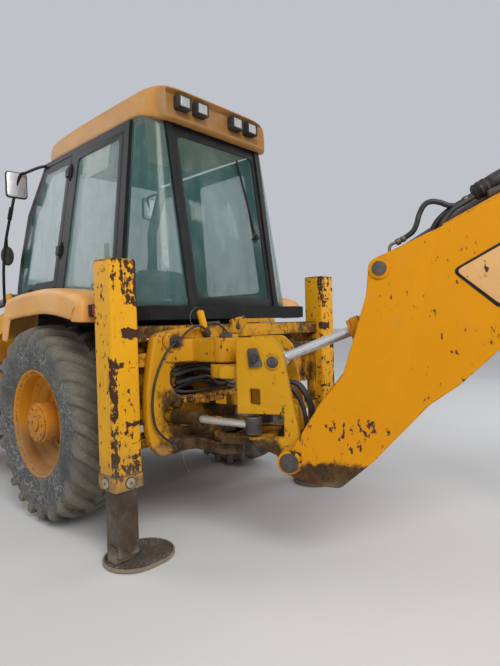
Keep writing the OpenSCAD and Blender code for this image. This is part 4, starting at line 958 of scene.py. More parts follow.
def mirror_arms():
    """Bent tube on each side of the cab with a flat upper mirror and a rounded lower housing."""
    for side_name, side in SIDES:
        place = Place(y=(0, side, 0))
        arm = hose([
            (650, 628, 2740), (760, 640, 2752), (980, 655, 2756), (1040, 690, 2725), (1075, 740, 2500),
            (1118, 815, 2050), (1122, 828, 1650), (1112, 815, 1578), (1064, 745, 1566),
        ], 12.5, 14, 8)
        clamps = [
            drum((1098, 770, 2340), (1088, 752, 2450), 19),
            hose([(1108, 795, 2170), (1120, 790, 2120), (1135, 785, 2060)], 9, 10),
            hose([(1060, 700, 2640), (1062, 705, 2600), (1064, 712, 2560)], 8, 10),
        ]
        piece(f"mirror_arm_{side_name}", together(arm, *clamps), "chassis", paint["black"],
              place, replaces=("mirrors",) if side > 0 else ())
        upper = plate(rounded([(-92, -118), (92, -118), (92, 118), (-92, 118)], 34), -14, 14, edge=9)
        face = plate(rounded([(-82, -108), (82, -108), (82, 108), (-82, 108)], 28), 13, 17, edge=1)
        at, wide = (1063, 712, 2650), (0.10, 1, 0)
        piece(f"mirror_upper_{side_name}", spun(upper, at, wide), "chassis", paint["plastic"],
              place)
        piece(f"mirror_upper_glass_{side_name}", spun(face, at, wide), "chassis", paint["chrome"],
              place)
        turn = np.linspace(0, np.pi, 14)
        body = turned(np.stack([88 * np.sin(turn) ** 0.6, -34 * np.cos(turn)], 1), 40)
        lower = (body[0] * [0.62, 1, 1.0], body[1])
        piece(f"mirror_lower_{side_name}", spun(lower, (1140, 782, 2022), (0.1, 1, 0)), "chassis",
              paint["plastic"], place)


def glass_panes():
    """Every fixed pane of the cab. The quarter panes are curved sheets: each level line is a quarter ellipse
    from the rear window's post to the side post, and the lines lean in towards the roof."""
    steps = np.linspace(0, np.pi / 2, 25)[None, :]
    up = np.linspace(0, 1, 30)[:, None]
    x0, x_reach = -965 + 190 * up, 324 - 141 * up
    y0, y_reach = 451 + 16 * up, 290 - 175 * up
    z = 1492 + up * 1292 + 0 * steps
    x = x0 + x_reach * (1 - np.cos(steps))
    y = y0 + y_reach * np.sin(steps)
    quarter = np.stack([x, y, z], -1).reshape(-1, 3), grid_faces(30, 25)
    piece("quarter_panes", together(quarter, mirrored(quarter)), "chassis", paint["glass"],
          replaces=("cab_windows",), smooth=60, thickness=5)
    flats = []
    for low, high, half_low, half_high in (
        (*REAR_WINDOW, 399, 413),
        ((1033, 1760), (958, 2374), 690, 612),
        ((958, 2376), (695, 2784), 612, 560),
    ):
        corners = np.array([
            [low[0], -half_low, low[1]], [low[0], half_low, low[1]],
            [high[0], half_high, high[1]], [high[0], -half_high, high[1]],
        ])
        flats.append((corners, [[0, 1, 2, 3]]))
    piece("rear_window_and_windscreen", together(*flats), "chassis", paint["glass"],
          thickness=5)
    for side_name, side in SIDES:
        pane = plate(rounded([(-557, 1593), (-522, 2717), (127, 2717), (212, 1593)], 30), 2, 7, edge=0.5)
        piece(f"side_pane_{side_name}", pane, "chassis", paint["glass"], side_face(side))


def side_face(side):
    """A cab side's leaning outer face: X along, Y into the cab, and Z up the slope from the ground."""
    up = np.array([0, -math.sin(SIDE_LEAN) * side, math.cos(SIDE_LEAN)])
    inwards = np.array([0, -math.cos(SIDE_LEAN) * side, -math.sin(SIDE_LEAN)])
    foot = np.array([0, 806 * side, 1200]) - up * 1200
    return Place(foot, (1, 0, 0), inwards, up)


def window_borders():
    """Black printed borders and rubber seals round the panes, a hair outside the glass."""
    (low_x, low_z), (high_x, high_z) = REAR_WINDOW
    lean = np.array([high_x - low_x, 0, high_z - low_z], float)
    lean /= np.linalg.norm(lean)
    outer = rounded([(-418, 0), (418, 0), (432, 1262), (-432, 1262)], 40)
    inner = rounded([(-362, 62), (362, 62), (374, 1196), (-374, 1196)], 55)
    flat = plate(outer, -4, 4, holes=[inner], edge=1)
    rear_window = Place((-970, 0, 1484), (0, 1, 0), (-lean[2], 0, lean[0]), lean)
    rings = [placed(flat, rear_window)]
    for side in (1, -1):
        rings.append(tube([(-968, 425 * side, 1490), (-778, 440 * side, 2780)], 17, 10))
    piece("rear_window_border", together(*rings), "chassis", paint["black"])
    for side_name, side in SIDES:
        outer = rounded([(-566, 1584), (-528, 2726), (136, 2726), (222, 1584)], 20)
        inner = rounded([(-520, 1632), (-484, 2680), (96, 2680), (172, 1632)], 45)
        piece(f"side_pane_border_{side_name}", plate(outer, -1.5, 3, holes=[inner], edge=1), "chassis",
              paint["black"], side_face(side))


roof_shell()
work_lamps()
mirror_arms()
glass_panes()
window_borders()
fenders = [fender_shell(side_name, side) for side_name, side in SIDES]
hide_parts("fenders")

# Rear frame and stabilisers

LEG_AXIS = (-984, 1006)  # of the left leg, as (x, y)


def square(half, corner):
    """A square outline with round corners, its middle at nought."""
    return rounded([(-half, -half), (half, -half), (half, half), (-half, half)], corner)


def stabiliser(side_name, side):
    """Box tube, its collar with the wear pads, the inner leg and the oval pad that stands on the ground."""
    leg = Place((LEG_AXIS[0], LEG_AXIS[1] * side, 0), (1, 0, 0), (0, 0, 1), (0, side, 0))
    outer = together(
        plate(square(89, 18), 524, 1737, holes=[square(72, 8)], edge=3),
        plate(square(85, 15), 1735, 1746, edge=4),
    )
    piece(f"leg_tube_{side_name}", outer, "chassis", paint["leg"], leg)
    details = [drum((-22, 1690, 86), (-22, 1690, 93), 20, edge=2, steps=24)]
    for z in (700, 1130, 1290):
        details.append(block((-89.5, z - 3, -60), (-86, z + 3, -20), 1.5))
    piece(f"leg_plug_{side_name}", together(*details), "chassis", paint["leg"], leg)
    collar = plate(square(97, 24), 440, 532, holes=[square(72.5, 8)], edge=12)
    piece(f"leg_collar_{side_name}", collar, "chassis", paint["greasy"], leg)
    pads, slots = [], []
    for x, y in ((1, 0), (-1, 0), (0, 1), (0, -1)):
        out = np.array([x, 0.0, y])
        across = np.array([y, 0.0, x])
        middle = np.array([0, 485.0, 0])
        pads.append(drum(middle + out * 95, middle + out * 104.5, 29, edge=3, steps=28))
        slots.append(tube([middle + out * 103.2 - across * 11, middle + out * 103.2 + across * 11], 2.6, 8))
        slots.append(tube([middle + out * 103.2 - [0, 11, 0], middle + out * 103.2 + [0, 11, 0]], 2.6, 8))
        slots.append(drum(middle + out * 95, middle + out * 97.6, 34, edge=1, steps=28))
    piece(f"leg_wear_pads_{side_name}", together(*pads), "chassis", paint["nylon"], leg)
    piece(f"leg_pad_slots_{side_name}", together(*slots), "chassis", paint["black"], leg)
    body = f"leg_{side_name}"
    inner = together(
        plate(square(68, 13), 62, 1213, edge=3),
        block((-40, 24, -80), (40, 118, 80), 8),
        drum((-84, 100, 0), (84, 100, 0), 22, edge=4, steps=28),
        drum((-73, 100, 0), (73, 100, 0), 31, edge=2, steps=28),
        drum((22, 112, -72), (22, 112, 72), 9, edge=2, steps=16),
    )
    piece(f"inner_leg_{side_name}", inner, body, paint["leg_steel"], leg, replaces=(body,))
    turn = np.linspace(0, 2 * np.pi, 96, endpoint=False)
    around = np.stack([180 * np.cos(turn) - 10, 180 * np.sin(turn) - 101 + 35 * np.sign(np.sin(turn))], 1)
    middle = around.mean(0)
    rings = []
    for share, height in ((0.9, 0), (1, 5), (1, 20), (0.985, 24.5), (0.955, 24.5), (0.94, 20), (0.93, 12),
                          (0.5, 11), (0.001, 11)):
        ring = middle + (around - middle) * share
        rings.append(np.column_stack([ring[:, 0], np.full(len(ring), height), ring[:, 1]]))
    points = np.concatenate(rings)
    faces = grid_faces(len(rings), len(turn), wrap_cols=True) + [list(range(len(turn)))]
    piece(f"leg_pad_{side_name}", (points, faces), body, paint["leg_steel"], leg, smooth=50)
    heap(side_name, leg, middle, around, body)


def heap(side_name, leg, middle, around, body):
    """Gravel in the pad: rings drawn in towards its middle, lifted by a sum of sines that never line up."""
    share = np.linspace(0.925, 0.02, 40)[:, None]
    x = middle[0] + (around[:, 0] - middle[0])[None, :] * share
    y = middle[1] + (around[:, 1] - middle[1])[None, :] * share
    bumps = np.sin(x * 0.31 + 2 * np.sin(y * 0.13)) * np.sin(y * 0.37 + 1.7 * np.sin(x * 0.11))
    bumps = bumps + 0.6 * np.sin(x * 0.71 + y * 0.23) * np.sin(y * 0.83 - x * 0.19)
    rise = 9 + 34 * np.exp(-(x**2 + (y + 150) ** 2) / 14000) * np.clip((0.93 - share) * 8, 0, 1)
    points = np.stack([x, 12 + np.clip(rise + 4.5 * bumps, 0, 50), y], -1).reshape(-1, 3)
    faces = grid_faces(40, len(around), wrap_cols=True)
    piece(f"pad_gravel_{side_name}", (points, faces), body, paint["soil"], leg, smooth=70)


def hoe_rails():
    """The rails between the stabiliser tubes, their uprights and gussets, and the latch on the upper rail."""
    bars = [
        block((-1020, -917, 1270), (-940, 917, 1364), 6),
        block((-1020, -917, 1120), (-940, 917, 1205), 6),
        block((-1020, -917, 640), (-940, 917, 700), 6),
        block((-940, -917, 1100), (-920, 917, 1364), 3),
    ]
    for side in (1, -1):
        place = Place(y=(0, side, 0))
        bars.append(placed(block((-1000, 887, 700), (-930, 917, 1120), 4), place))
        bars.append(placed(block((-1000, 887, 1205), (-940, 917, 1270), 4), place))
        bars.append(placed(block((-958, 690, 864), (-944, 890, 1118), 4), place))
        bars.append(placed(block((-996, 560, 700), (-930, 890, 716), 4), place))
        bars.append(placed(block((-985, 776, 864), (-957, 790, 1116), 3), place))
    piece("hoe_rails", together(*bars), "chassis", paint["rails"], replaces=("rear_frame",))
    latch = [(107, 1366), (104, 1392), (30, 1398), (-340, 1399), (-376, 1388), (-370, 1366)]
    lug = [(107, 1300), (107, 1396), (22, 1412), (-60, 1396), (-40, 1352), (59, 1300)]
    plates = together(plate(latch, -1012, -990, edge=4, corner=10),
                      plate(lug, -1020.5, -1008, edge=3, corner=14))
    piece("rail_latch", plates, "chassis", paint["casting"], FACING)
    bolts = [hex_bolt((-1020, 45, 1342), (-1, 0, 0), 30, 12), hex_bolt((-1006, -14, 1398), (0, 0, 1), 24, 20)]
    piece("rail_latch_bolts", together(*bolts), "chassis", paint["ground_steel"])


for side_name, side in SIDES:
    stabiliser(side_name, side)
hoe_rails()

# Hoe carriage


def carriage_pieces():
    """Cast C-shaped frame with its two kingpost arms, the handle, and the hoses held to it."""
    casting = plate([
        (790, 1318, 50), (640, 1342, 60), (480, 1350, 60), (330, 1342, 30), (296, 1296, 20), (115, 1290, 14),
        (115, 605, 20), (420, 596, 60), (700, 580, 60), (800, 590, 70), (868, 668, 60), (884, 770, 80),
        (885, 860, 80), (882, 960, 60), (870, 1060, 60), (848, 1180, 60), (826, 1290, 40),
    ], -1095, -1031, edge=14, holes=[
        rounded([(664, 1136), (712, 1078), (714, 1012), (668, 948), (604, 922), (160, 905), (160, 1130),
                 (400, 1156)], 42),
        rounded([(768, 836), (738, 876), (676, 894), (200, 884), (200, 735), (470, 712), (618, 734),
                 (742, 778)], 30),
    ])
    plan = [(-1360, -90), (-1170, -98, 20), (-1130, -190, 40), (-1080, -280, 8), (-1080, 280, 8),
            (-1130, 190, 40), (-1170, 98, 20), (-1360, 90)]
    floor_place = Place((0, 500, 0), (1, 0, 0), (0, 0, 1), (0, 1, 0))
    arms = [
        placed(casting, FACING),
        placed(plate(plan, 1140, 1280, edge=14), floor_place),
        placed(plate(plan, 605, 675, edge=12), floor_place),
        drum((-1360, 500, 1140), (-1360, 500, 1282), 90, edge=12, steps=56),
        drum((-1360, 500, 605), (-1360, 500, 675), 95, edge=10, steps=56),
        drum((-1124, 698, 1268), (-1040, 698, 1268), 68, edge=10, steps=48),
        drum((-1108, 696, 650), (-1040, 696, 650), 46, edge=8, steps=40),
        placed(plate([(104, 1276), (106, 1344), (-4, 1350), (-4, 1276)], -1094, -1072, edge=4, corner=12),
               Place((0, 330, 0), (0, 1, 0), (1, 0, 0))),
    ]
    for z in (682, 862):
        arms.append(drum((-1060, 350, z), (-1060, 350, z + 48), 38, edge=6, steps=32))
        arms.append(drum((-1060, 650, z), (-1060, 650, z + 48), 38, edge=6, steps=32))
    pads = []
    for y in (170, 750):
        for z, height in ((1280, 10), (1130, 65), (650, 40)):
            pads.append(block((-1031, y, z), (-1021, y + 80, z + height), 3))
    piece("carriage_casting", together(*arms), "carriage", paint["casting"],
          replaces=("carriage",), smooth=50)
    piece("carriage_wear_pads", together(*pads), "carriage", paint["nylon"])
    pins = [
        drum((-1360, 500, 1035), (-1360, 500, 1305), 40, edge=6),
        drum((-1360, 500, 590), (-1360, 500, 745), 40, edge=6),
        hex_bolt((-1360, 500, 1304), (0, 0, 1), 34, 14),
    ]
    piece("kingpins", together(*pins), "carriage", paint["dark"])
    shelf = [
        block((-1116, 168, 886), (-1040, 640, 922), 7),
        block((-1122, 300, 868), (-1112, 560, 900), 4),
        block((-1118, 300, 1130), (-1096, 420, 1152), 5),
    ]
    piece("hose_shelf", together(*shelf), "carriage", paint["rusty"])
    handle = [
        drum((-1118, 448, 1322), (-1106, 476, 1450), 23, edge=7, steps=32),
        drum((-1106, 476, 1448), (-1105.5, 477.3, 1454), 17, edge=3, steps=32),
    ]
    piece("plunger_handle", together(*handle), "carriage", paint["panel"])
    fittings = [
        drum((-1122, 428, 1292), (-1117, 450, 1346), 27, edge=5, steps=28),
        block((-1136, 414, 1244), (-1104, 446, 1302), 8),
        drum((-1100, 424, 1366), (-1100, 306, 1370), 15, edge=5, steps=24),
        drum((-1140, 698, 1268), (-1120, 698, 1268), 40, edge=6, steps=32),
        hex_bolt((-1138, 698, 1268), (-1, 0, 0), 42, 20),
        drum((-1176, 698, 1268), (-1150, 698, 1268), 13, edge=4, steps=24),
        drum((-1134, 696, 650), (-1104, 696, 650), 34, edge=6, steps=32),
        hex_bolt((-1132, 696, 650), (-1, 0, 0), 34, 22),
        hex_bolt((-1110, 640, 662), (-1, 0, 0), 20, 10),
    ]
    piece("carriage_fittings", together(*fittings), "carriage", paint["rusty_dark"])
    lines = [
        hose([(-1128, 446, 1336), (-1132, 520, 1356), (-1136, 600, 1328), (-1146, 660, 1290),
              (-1150, 700, 1266), (-1142, 756, 1226), (-1132, 800, 1160), (-1124, 842, 1060),
              (-1120, 866, 950), (-1120, 866, 840), (-1122, 838, 752), (-1130, 770, 682), (-1134, 700, 652)],
             7.5, 12),
        hose([(-1128, 444, 1330), (-1116, 380, 1372), (-1112, 300, 1350), (-1110, 240, 1304)], 6, 10),
    ]
    for start, over, low in (
        ((-1064, 676, 1086), (-1058, 500, 1104), 980),
        ((-1082, 690, 1060), (-1074, 470, 1086), 952),
        ((-1050, 650, 976), (-1050, 470, 1012), 942),
        ((-1076, 664, 1010), (-1080, 420, 1030), 962),
    ):
        x = start[0]
        lines.append(hose([start, over, (x - 6, 320, over[2] - 58), (x - 10, 222, low + 14),
                           (x - 12, 168, low)], 13, 14))
    lines.append(hose([(-1056, 690, 1040), (-1052, 660, 968), (-1060, 520, 940), (-1064, 300, 950),
                       (-1070, 172, 962)], 10, 12))
    piece("carriage_hoses", together(*lines), "carriage", paint["hose"])
    ends = []
    for z in (942, 962, 984):
        ends.append(drum((-1084, 236, z + 14), (-1088, 172, z), 14.5, edge=3, steps=20))
        ends.append(hex_bolt((-1087, 190, z + 4), (0, -1, -0.1), 30, 16, washer=False))
    piece("carriage_hose_ends", together(*ends), "carriage", paint["steel"])
    wires = [
        hose([(-1110, 476, 1452), (-1124, 520, 1472), (-1130, 572, 1436), (-1130, 574, 1382),
              (-1130, 530, 1342), (-1128, 466, 1318)], 1.6, 6),
        hose([(-1124, 690, 640), (-1136, 668, 584), (-1132, 660, 540), (-1128, 640, 500), (-1124, 612, 452)],
             2.2, 6),
    ]
    piece("loose_wires", together(*wires), "carriage", paint["steel"])


carriage_pieces()
for side_name, side in SIDES:
    eased(f"slew_barrel_{side_name}", f"slew_barrel_{side_name}", paint["casting"], bevel=5)
    eased(f"slew_rod_{side_name}", f"slew_rod_{side_name}", paint["chrome"], bevel=3)
# The eyes of the slewing rods, where the pins of the post hold them
for side_name, x, y in (("left", -1611.6, 547.4), ("right", -1461.4, 265.0)):
    eye = drum((x, y, 753), (x, y, 847), 45.5, edge=5, steps=40)
    piece(f"slew_rod_eye_{side_name}", eye, f"slew_rod_{side_name}", paint["pin"])

# Swing post


def post_pieces():
    """Two cheeks and the webs between them, the ram's pin and its keepers, the boom's foot pin, and hoses."""
    outline = [
        (112, 1286, 14), (318, 1287, 50), (376, 1226, 50), (390, 1120, 60), (458, 764, 60), (478, 640, 40),
        (440, 560, 50), (376, 556, 50), (330, 640, 40), (200, 690, 30), (162, 738, 6), (375, 738, 12),
        (375, 862, 12), (112, 862, 8), (112, 900, 20),
    ]
    holes = [
        rounded([(186, 917), (186, 1004), (244, 1000), (244, 913)], 8),
        circle((410, 620), 31, 36),
    ]
    bore, seat = [circle((0, 0), 41, 32)], [circle((0, 0), 40.6, 32)]
    webs = [
        plate([(0, -140), (250, -140), (250, 140), (0, 140)], 1052, 1128, edge=5, holes=bore),
        plate([(200, -140), (400, -140), (400, 140), (200, 140)], 868, 905, edge=5),
        plate([(0, -140), (300, -140), (300, 140), (0, 140)], 682, 732, edge=5, holes=bore),
        plate(circle((0, 0), 95), 1050, 1130, edge=6, holes=seat),
        plate(circle((0, 0), 90), 682, 732, edge=6, holes=seat),
    ]
    solids = [
        plate(outline, 140, 180, holes=holes, edge=7),
        plate(outline, -180, -140, holes=holes, edge=7),
        *[placed(web, UPRIGHT) for web in webs],
        block((400, -140, 740), (440, 140, 905), 5),
    ]
    for o in (1, -1):
        solids.append(crossbar(323, 1155, o * 140, o * 146, 60, edge=3))
        solids.append(crossbar(410, 620, o * 176, o * 186, 74, edge=4, steps=48))
    piece("post_cheeks", together(*solids), "swing_post", paint["post"], HOE,
          replaces=("swing_post",), smooth=40)
    pins = [crossbar(320, 1150, -190, 190, 33, edge=4, steps=36)]
    ring = crossbar(320, 1150, 178, 184, 46, edge=2, steps=36)
    for o in (1, -1):
        keeper = plate([(182, 1226), (236, 1228), (268, 1128), (190, 1120)], 179, 197, edge=5, corner=12)
        pins.append((keeper[0] * [1, o, 1], keeper[1]))
        pins.append(hex_bolt((222, o * 196, 1172), (0, o, 0), 34, 18))
        pins.append(crossbar(410, 620, o * 170, o * 256, 30, edge=5, steps=36))
        pins.append(crossbar(410, 620, o * 244, o * 252, 44, edge=3, steps=36))
    piece("post_pins", together(*pins), "swing_post", paint["pin"], HOE)
    piece("post_pin_seats", together(ring, mirrored(ring)), "swing_post", paint["post"], HOE)
    hoses = []
    for o, out in ((-66, 0), (-92, 10), (64, -14)):
        path = [(262, 1004), (334, 1014), (405, 1000), (447, 952), (475, 894), (491, 832), (494, 770),
                (476, 712), (452, 690)]
        hoses.append(hose([(x + (out if x > 400 else 0), o, z) for x, z in path], 12.5, 14, 8))
    piece("post_hoses", together(*hoses), "swing_post", paint["hose"], HOE)


post_pieces()

# Boom

FOLD_DROP = 13  # how far the side plates sink beyond their fold


def folded(shape, first, second, drop):
    """A plate pressed along two lines of [along, height]: its outer face sinks evenly from the first line to
    the second and stays low beyond it, by the drop."""
    work = bmesh.new()
    corners = [work.verts.new(point) for point in shape[0].tolist()]
    for face in shape[1]:
        work.faces.new([corners[k] for k in face])
    bmesh.ops.remove_doubles(work, verts=work.verts, dist=0.02)
    sides = []
    for a, b in (first, second):
        run = np.array([b[0] - a[0], b[1] - a[1]], float)
        run /= np.linalg.norm(run)
        sides.append((np.array(a, float), np.array([run[1], -run[0]])))
        bmesh.ops.bisect_plane(
            work, geom=work.verts[:] + work.edges[:] + work.faces[:],
            plane_co=(a[0], 0, a[1]), plane_no=(-run[1], 0, run[0]),
        )
    work.verts.index_update()
    points = np.array([vertex.co[:] for vertex in work.verts])
    faces = [[vertex.index for vertex in face.verts] for face in work.faces]
    work.free()
    flat = points[:, [0, 2]]
    past = (flat - sides[0][0]) @ sides[0][1]
    short = -(flat - sides[1][0]) @ sides[1][1]
    share = np.where(past <= 0, 0, np.where(short <= 0, 1, past / np.maximum(past + short, 1e-6)))
    outer = np.abs(points[:, 1]) > np.abs(points[:, 1]).mean()
    points[:, 1] -= np.sign(points[:, 1]) * outer * share * drop
    return points, faces


def boom_pieces():
    """Two side plates with their fold, the plates between them, pins and bosses, and the blank name plate."""
    outline = [
        (450, 530, 40), (560, 500, 60), (672, 492, 60), (850, 645, 60), (1120, 935, 120), (1262, 1037, 80),
        (1440, 1206, 60), (2050, 1850, 60), (2400, 2235, 60), (2530, 2290, 50), (2520, 2400, 50),
        (2420, 2438, 40), (2200, 2310, 60), (1450, 1944, 90), (1180, 1812, 60), (934, 1704, 30),
        (868, 1678, 30), (838, 1640, 44), (822, 1490, 60), (776, 1340, 60), (700, 1090, 90), (574, 930, 90),
        (424, 690, 60), (352, 628, 44), (362, 560, 44),
    ]
    holes = [circle((410, 620), 31, 36), circle((2460, 2330), 32.5, 36)]
    flat = plate(outline, 195, 220, holes=holes, edge=5)
    near = folded(flat, ((977, 1262), (1110, 1752)), ((1052, 1261), (1167, 1789)), FOLD_DROP)
    piece("boom_sides", together(near, mirrored(near)), "boom", paint["boom"], HOE,
          replaces=("boom",), smooth=4)
    strip = [(1195, 1828), (1450, 1958), (2180, 2318), (2188, 2300), (1460, 1938), (1203, 1808)]
    between = [
        plate([(868, 668), (1120, 938), (1260, 1038), (1440, 1209), (2050, 1853), (2036, 1866), (1426, 1224),
               (1248, 1053), (1107, 953), (856, 681)], -196, 196, edge=3),
        plate(strip, 98, 196, edge=3),
        plate(strip, -196, -98, edge=3),
        plate([(1560, 1925), (1760, 2035), (1767, 2023), (1567, 1913)], -196, 196, edge=3),
    ]
    piece("boom_plates", together(*between), "boom", paint["boom"], HOE, smooth=30)
    rings, pins = [], []
    for o in (1, -1):
        rings.append(crossbar(410, 620, o * 214, o * 244, 65, edge=6, steps=56, hollow=31))
        rings.append(crossbar(890, 1625, o * 214, o * 229, 55, edge=5, steps=48))
        rings.append(crossbar(1810, 1720, o * 208, o * 224, 56, edge=5, steps=48))
        pins.append(crossbar(410, 620, o * 240, o * 249, 52, edge=3, steps=48, hollow=34))
        pins.append(crossbar(890, 1625, o * 226, o * 240, 36, edge=5, steps=40))
        pins.append(crossbar(1810, 1720, o * 220, o * 238, 34, edge=5, steps=40))
        pins.append(crossbar(2460, 2330, o * 216, o * 236, 44, edge=5, steps=48))
    for x, z, radius in ((2460, 2330, 32), (1810, 1720, 32), (890, 1625, 30)):
        pins.append(crossbar(x, z, -222, 222, radius, edge=2, steps=40))
    piece("boom_bosses", together(*rings), "boom", paint["boom"], HOE)
    piece("boom_pins", together(*pins), "boom", paint["pin"], HOE)
    border = plate(rounded([(1229, 1597), (1621, 1816), (1833, 1626), (1441, 1407)], 30), 205, 211, edge=2)
    blank = plate(rounded([(1249, 1595), (1618, 1799), (1807, 1630), (1444, 1427)], 22), 207, 212.5, edge=1.5)
    piece("name_plate_border", together(border, mirrored(border)), "boom", paint["black"],
          HOE)
    piece("name_plate", together(blank, mirrored(blank)), "boom", paint["blank"], HOE)


def boom_hoses():
    """Steel elbow, the hoses that leave the boom, and the sleeved bundle that runs on along its top."""
    first = hose([
        (989, 150, 1763), (1024, 150, 1783), (1059, 150, 1809), (1077, 150, 1844), (1091, 150, 1893),
        (1116, 150, 1938), (1150, 150, 1952), (1190, 148, 1944), (1230, 146, 1927), (1269, 144, 1925),
        (1309, 142, 1949), (1352, 138, 1975),
    ], 13.5, 16, 8)
    others = [
        hose([(1136, 118, 1760), (1156, 122, 1820), (1181, 124, 1861), (1218, 124, 1897), (1262, 124, 1926),
              (1310, 126, 1950), (1356, 128, 1973)], 13, 16, 8),
        hose([(1176, 166, 1750), (1188, 166, 1808), (1209, 164, 1852), (1243, 160, 1896), (1284, 154, 1924),
              (1324, 146, 1946), (1356, 142, 1968)], 14, 16, 8),
        hose([(1156, 60, 1760), (1180, 66, 1830), (1222, 80, 1890), (1290, 96, 1936), (1356, 116, 1970)],
             12, 14, 8),
    ]
    piece("boom_hoses", together(first, *others), "boom", paint["hose"], HOE)
    bend = [(946, 160, 1660), (944, 160, 1700), (944, 160, 1736), (962, 156, 1754), (992, 150, 1764)]
    elbow = hose(bend, 8, 14, 8)
    nuts = [
        drum((976, 152, 1757), (998, 150, 1768), 17, edge=4, steps=20),
        drum((1004, 150, 1770), (1020, 150, 1780), 16, edge=3, steps=20),
        drum((1300, 144, 1944), (1318, 142, 1956), 17, edge=3, steps=20),
    ]
    piece("boom_hose_elbow", together(elbow, *nuts), "boom", paint["steel"], HOE)
    run = np.array([(1346, 134, 1975), (1392, 134, 2002), (1466, 132, 2042), (1640, 134, 2132),
                    (1860, 136, 2240), (2060, 138, 2338)], float)
    line = curve_through(run, 30)
    along = np.linspace(0, 1, len(line))
    # The sleeve is 78 mm thick, with fine and coarse folds, and tapers at its first end
    wave = 39 + 1.6 * np.sin(along * 300) + 1.2 * np.sin(along * 37)
    wave = np.where(along < 0.03, 30 + along * 300, wave)
    piece("boom_sleeve", tube(line, wave, 28), "boom", paint["sleeve"], HOE, smooth=60)
    clamps = [
        drum((1372, 134, 1990), (1384, 134, 1997), 43, edge=3, steps=32),
        drum((1398, 134, 2004), (1408, 134, 2010), 43, edge=3, steps=32),
    ]
    for s, z in ((1440, 1986), (1740, 2140), (2040, 2286)):
        bracket = [(s - 34, z - 46), (s + 38, z - 14), (s + 30, z + 20), (s - 42, z - 10)]
        clamps.append(plate(bracket, 84, 188, edge=5, corner=6))
    piece("boom_hose_clamps", together(*clamps), "boom", paint["rusty_dark"], HOE)
    tails = []
    for k in range(3):
        path = [(2050, 116 + 22 * k, 2334), (2120, 114 + 24 * k, 2372), (2190, 114 + 26 * k, 2376 - 8 * k)]
        tails.append(hose([*path, (2236, 116 + 26 * k, 2340)], 12, 12))
    piece("boom_hose_tails", together(*tails), "boom", paint["hose"], HOE)


boom_pieces()
boom_hoses()

# Nodes that keep their CAD shape, with rounded edges: node, body, finish, slot and width of the rounding

AS_DRAWN = [
    ("chassis", "chassis", "panel", "yellow_paint", 4),
    ("rear_axle", "chassis", "dark", "dark_steel", 5),
    ("front_axle", "chassis", "dark", "dark_steel", 5),
    ("engine", "chassis", "dark", "dark_steel", 8),
    ("nose", "chassis", "panel", "yellow_paint", 5),
    ("bonnet", "bonnet", "panel", "yellow_paint", 5),
    ("cab_frame", "chassis", "black", "dark_steel", 6),
    ("cab_floor", "chassis", "black", "dark_steel", 5),
    ("controls", "chassis", "plastic", "black_plastic", 5),
    ("door_left", "door_left", "black", "dark_steel", 6),
    ("door_right", "door_right", "black", "dark_steel", 6),
    ("tanks_and_steps", "chassis", "black", "dark_steel", 8),
    ("exhaust", "chassis", "dark", "dark_steel", 3),
    ("knuckle_left", "knuckle_left", "dark", "dark_steel", 5),
    ("knuckle_right", "knuckle_right", "dark", "dark_steel", 5),
    ("loader_arms", "loader_arms", "panel", "yellow_paint", 6),
    ("lift_barrels", "lift_barrels", "ram", "ram_grey", 3),
    ("lift_rods", "lift_rods", "chrome", "ram_chrome", 3),
    ("tilt_barrels", "tilt_barrels", "ram", "ram_grey", 3),
    ("tilt_rods", "tilt_rods", "chrome", "ram_chrome", 3),
    ("tilt_levers", "tilt_levers", "panel", "yellow_paint", 4),
    ("tilt_links", "tilt_links", "panel", "yellow_paint", 4),
    ("boom_barrel", "boom_barrel", "boom", "amber_paint", 4),
    ("boom_rod", "boom_rod", "chrome", "ram_chrome", 4),
    ("dipper", "dipper", "boom", "amber_paint", 6),
    ("dipper_barrel", "dipper_barrel", "ram", "ram_grey", 4),
    ("dipper_rod", "dipper_rod", "chrome", "ram_chrome", 4),
    ("tip_barrel", "tip_barrel", "ram", "ram_grey", 3),
    ("tip_rod", "tip_rod", "chrome", "ram_chrome", 3),
    ("tip_levers", "tip_levers", "panel", "yellow_paint", 4),
    ("tip_link", "tip_link", "panel", "yellow_paint", 4),
]
for node, body, finish, slot, bevel in AS_DRAWN:
    eased(node, body, paint[finish], bevel)
for side_name, side in SIDES:
    eased(f"door_glass_{side_name}", f"door_{side_name}", paint["glass"], 1)
eased("loader_bucket", "loader_bucket", paint["bucket"], 4)
eased("hoe_bucket", "hoe_bucket", paint["ground_steel"], 4)


def pad(half_x, half_y, half_z, seams):
    """A crowned cushion: a superellipsoid that is flatter below and whose sides pull in between the corners,
    with sewn channels across it where its height drops as a narrow bell curve."""
    u = np.linspace(0, 2 * np.pi, 96, endpoint=False)[None, :]
    v = np.linspace(-np.pi / 2, np.pi / 2, 41)[:, None]
    upright, level, top = 0.42, 0.38, 0.7  # exponents: the smaller, the squarer
    wide = np.sign(np.cos(v)) * np.abs(np.cos(v)) ** upright
    x = half_x * wide * np.sign(np.cos(u)) * np.abs(np.cos(u)) ** level
    y = half_y * wide * np.sign(np.sin(u)) * np.abs(np.sin(u)) ** level
    crown = 1 - 0.22 * (np.abs(x) / half_x) ** 2 - 0.22 * (np.abs(y) / half_y) ** 2
    z = half_z * np.sign(np.sin(v)) * np.abs(np.sin(v)) ** top * np.where(v > 0, crown, 0.9)
    for seam in seams:
        z = z - np.where(z > 0, 7 * np.exp(-(((x - seam) / 7) ** 2)), 0)
    pull = 1 - 0.03 * (np.cos(4 * u) * -0.5 + 0.5)
    return np.stack([x * pull, y * pull, z], -1).reshape(-1, 3), grid_faces(41, 96, wrap_cols=True)


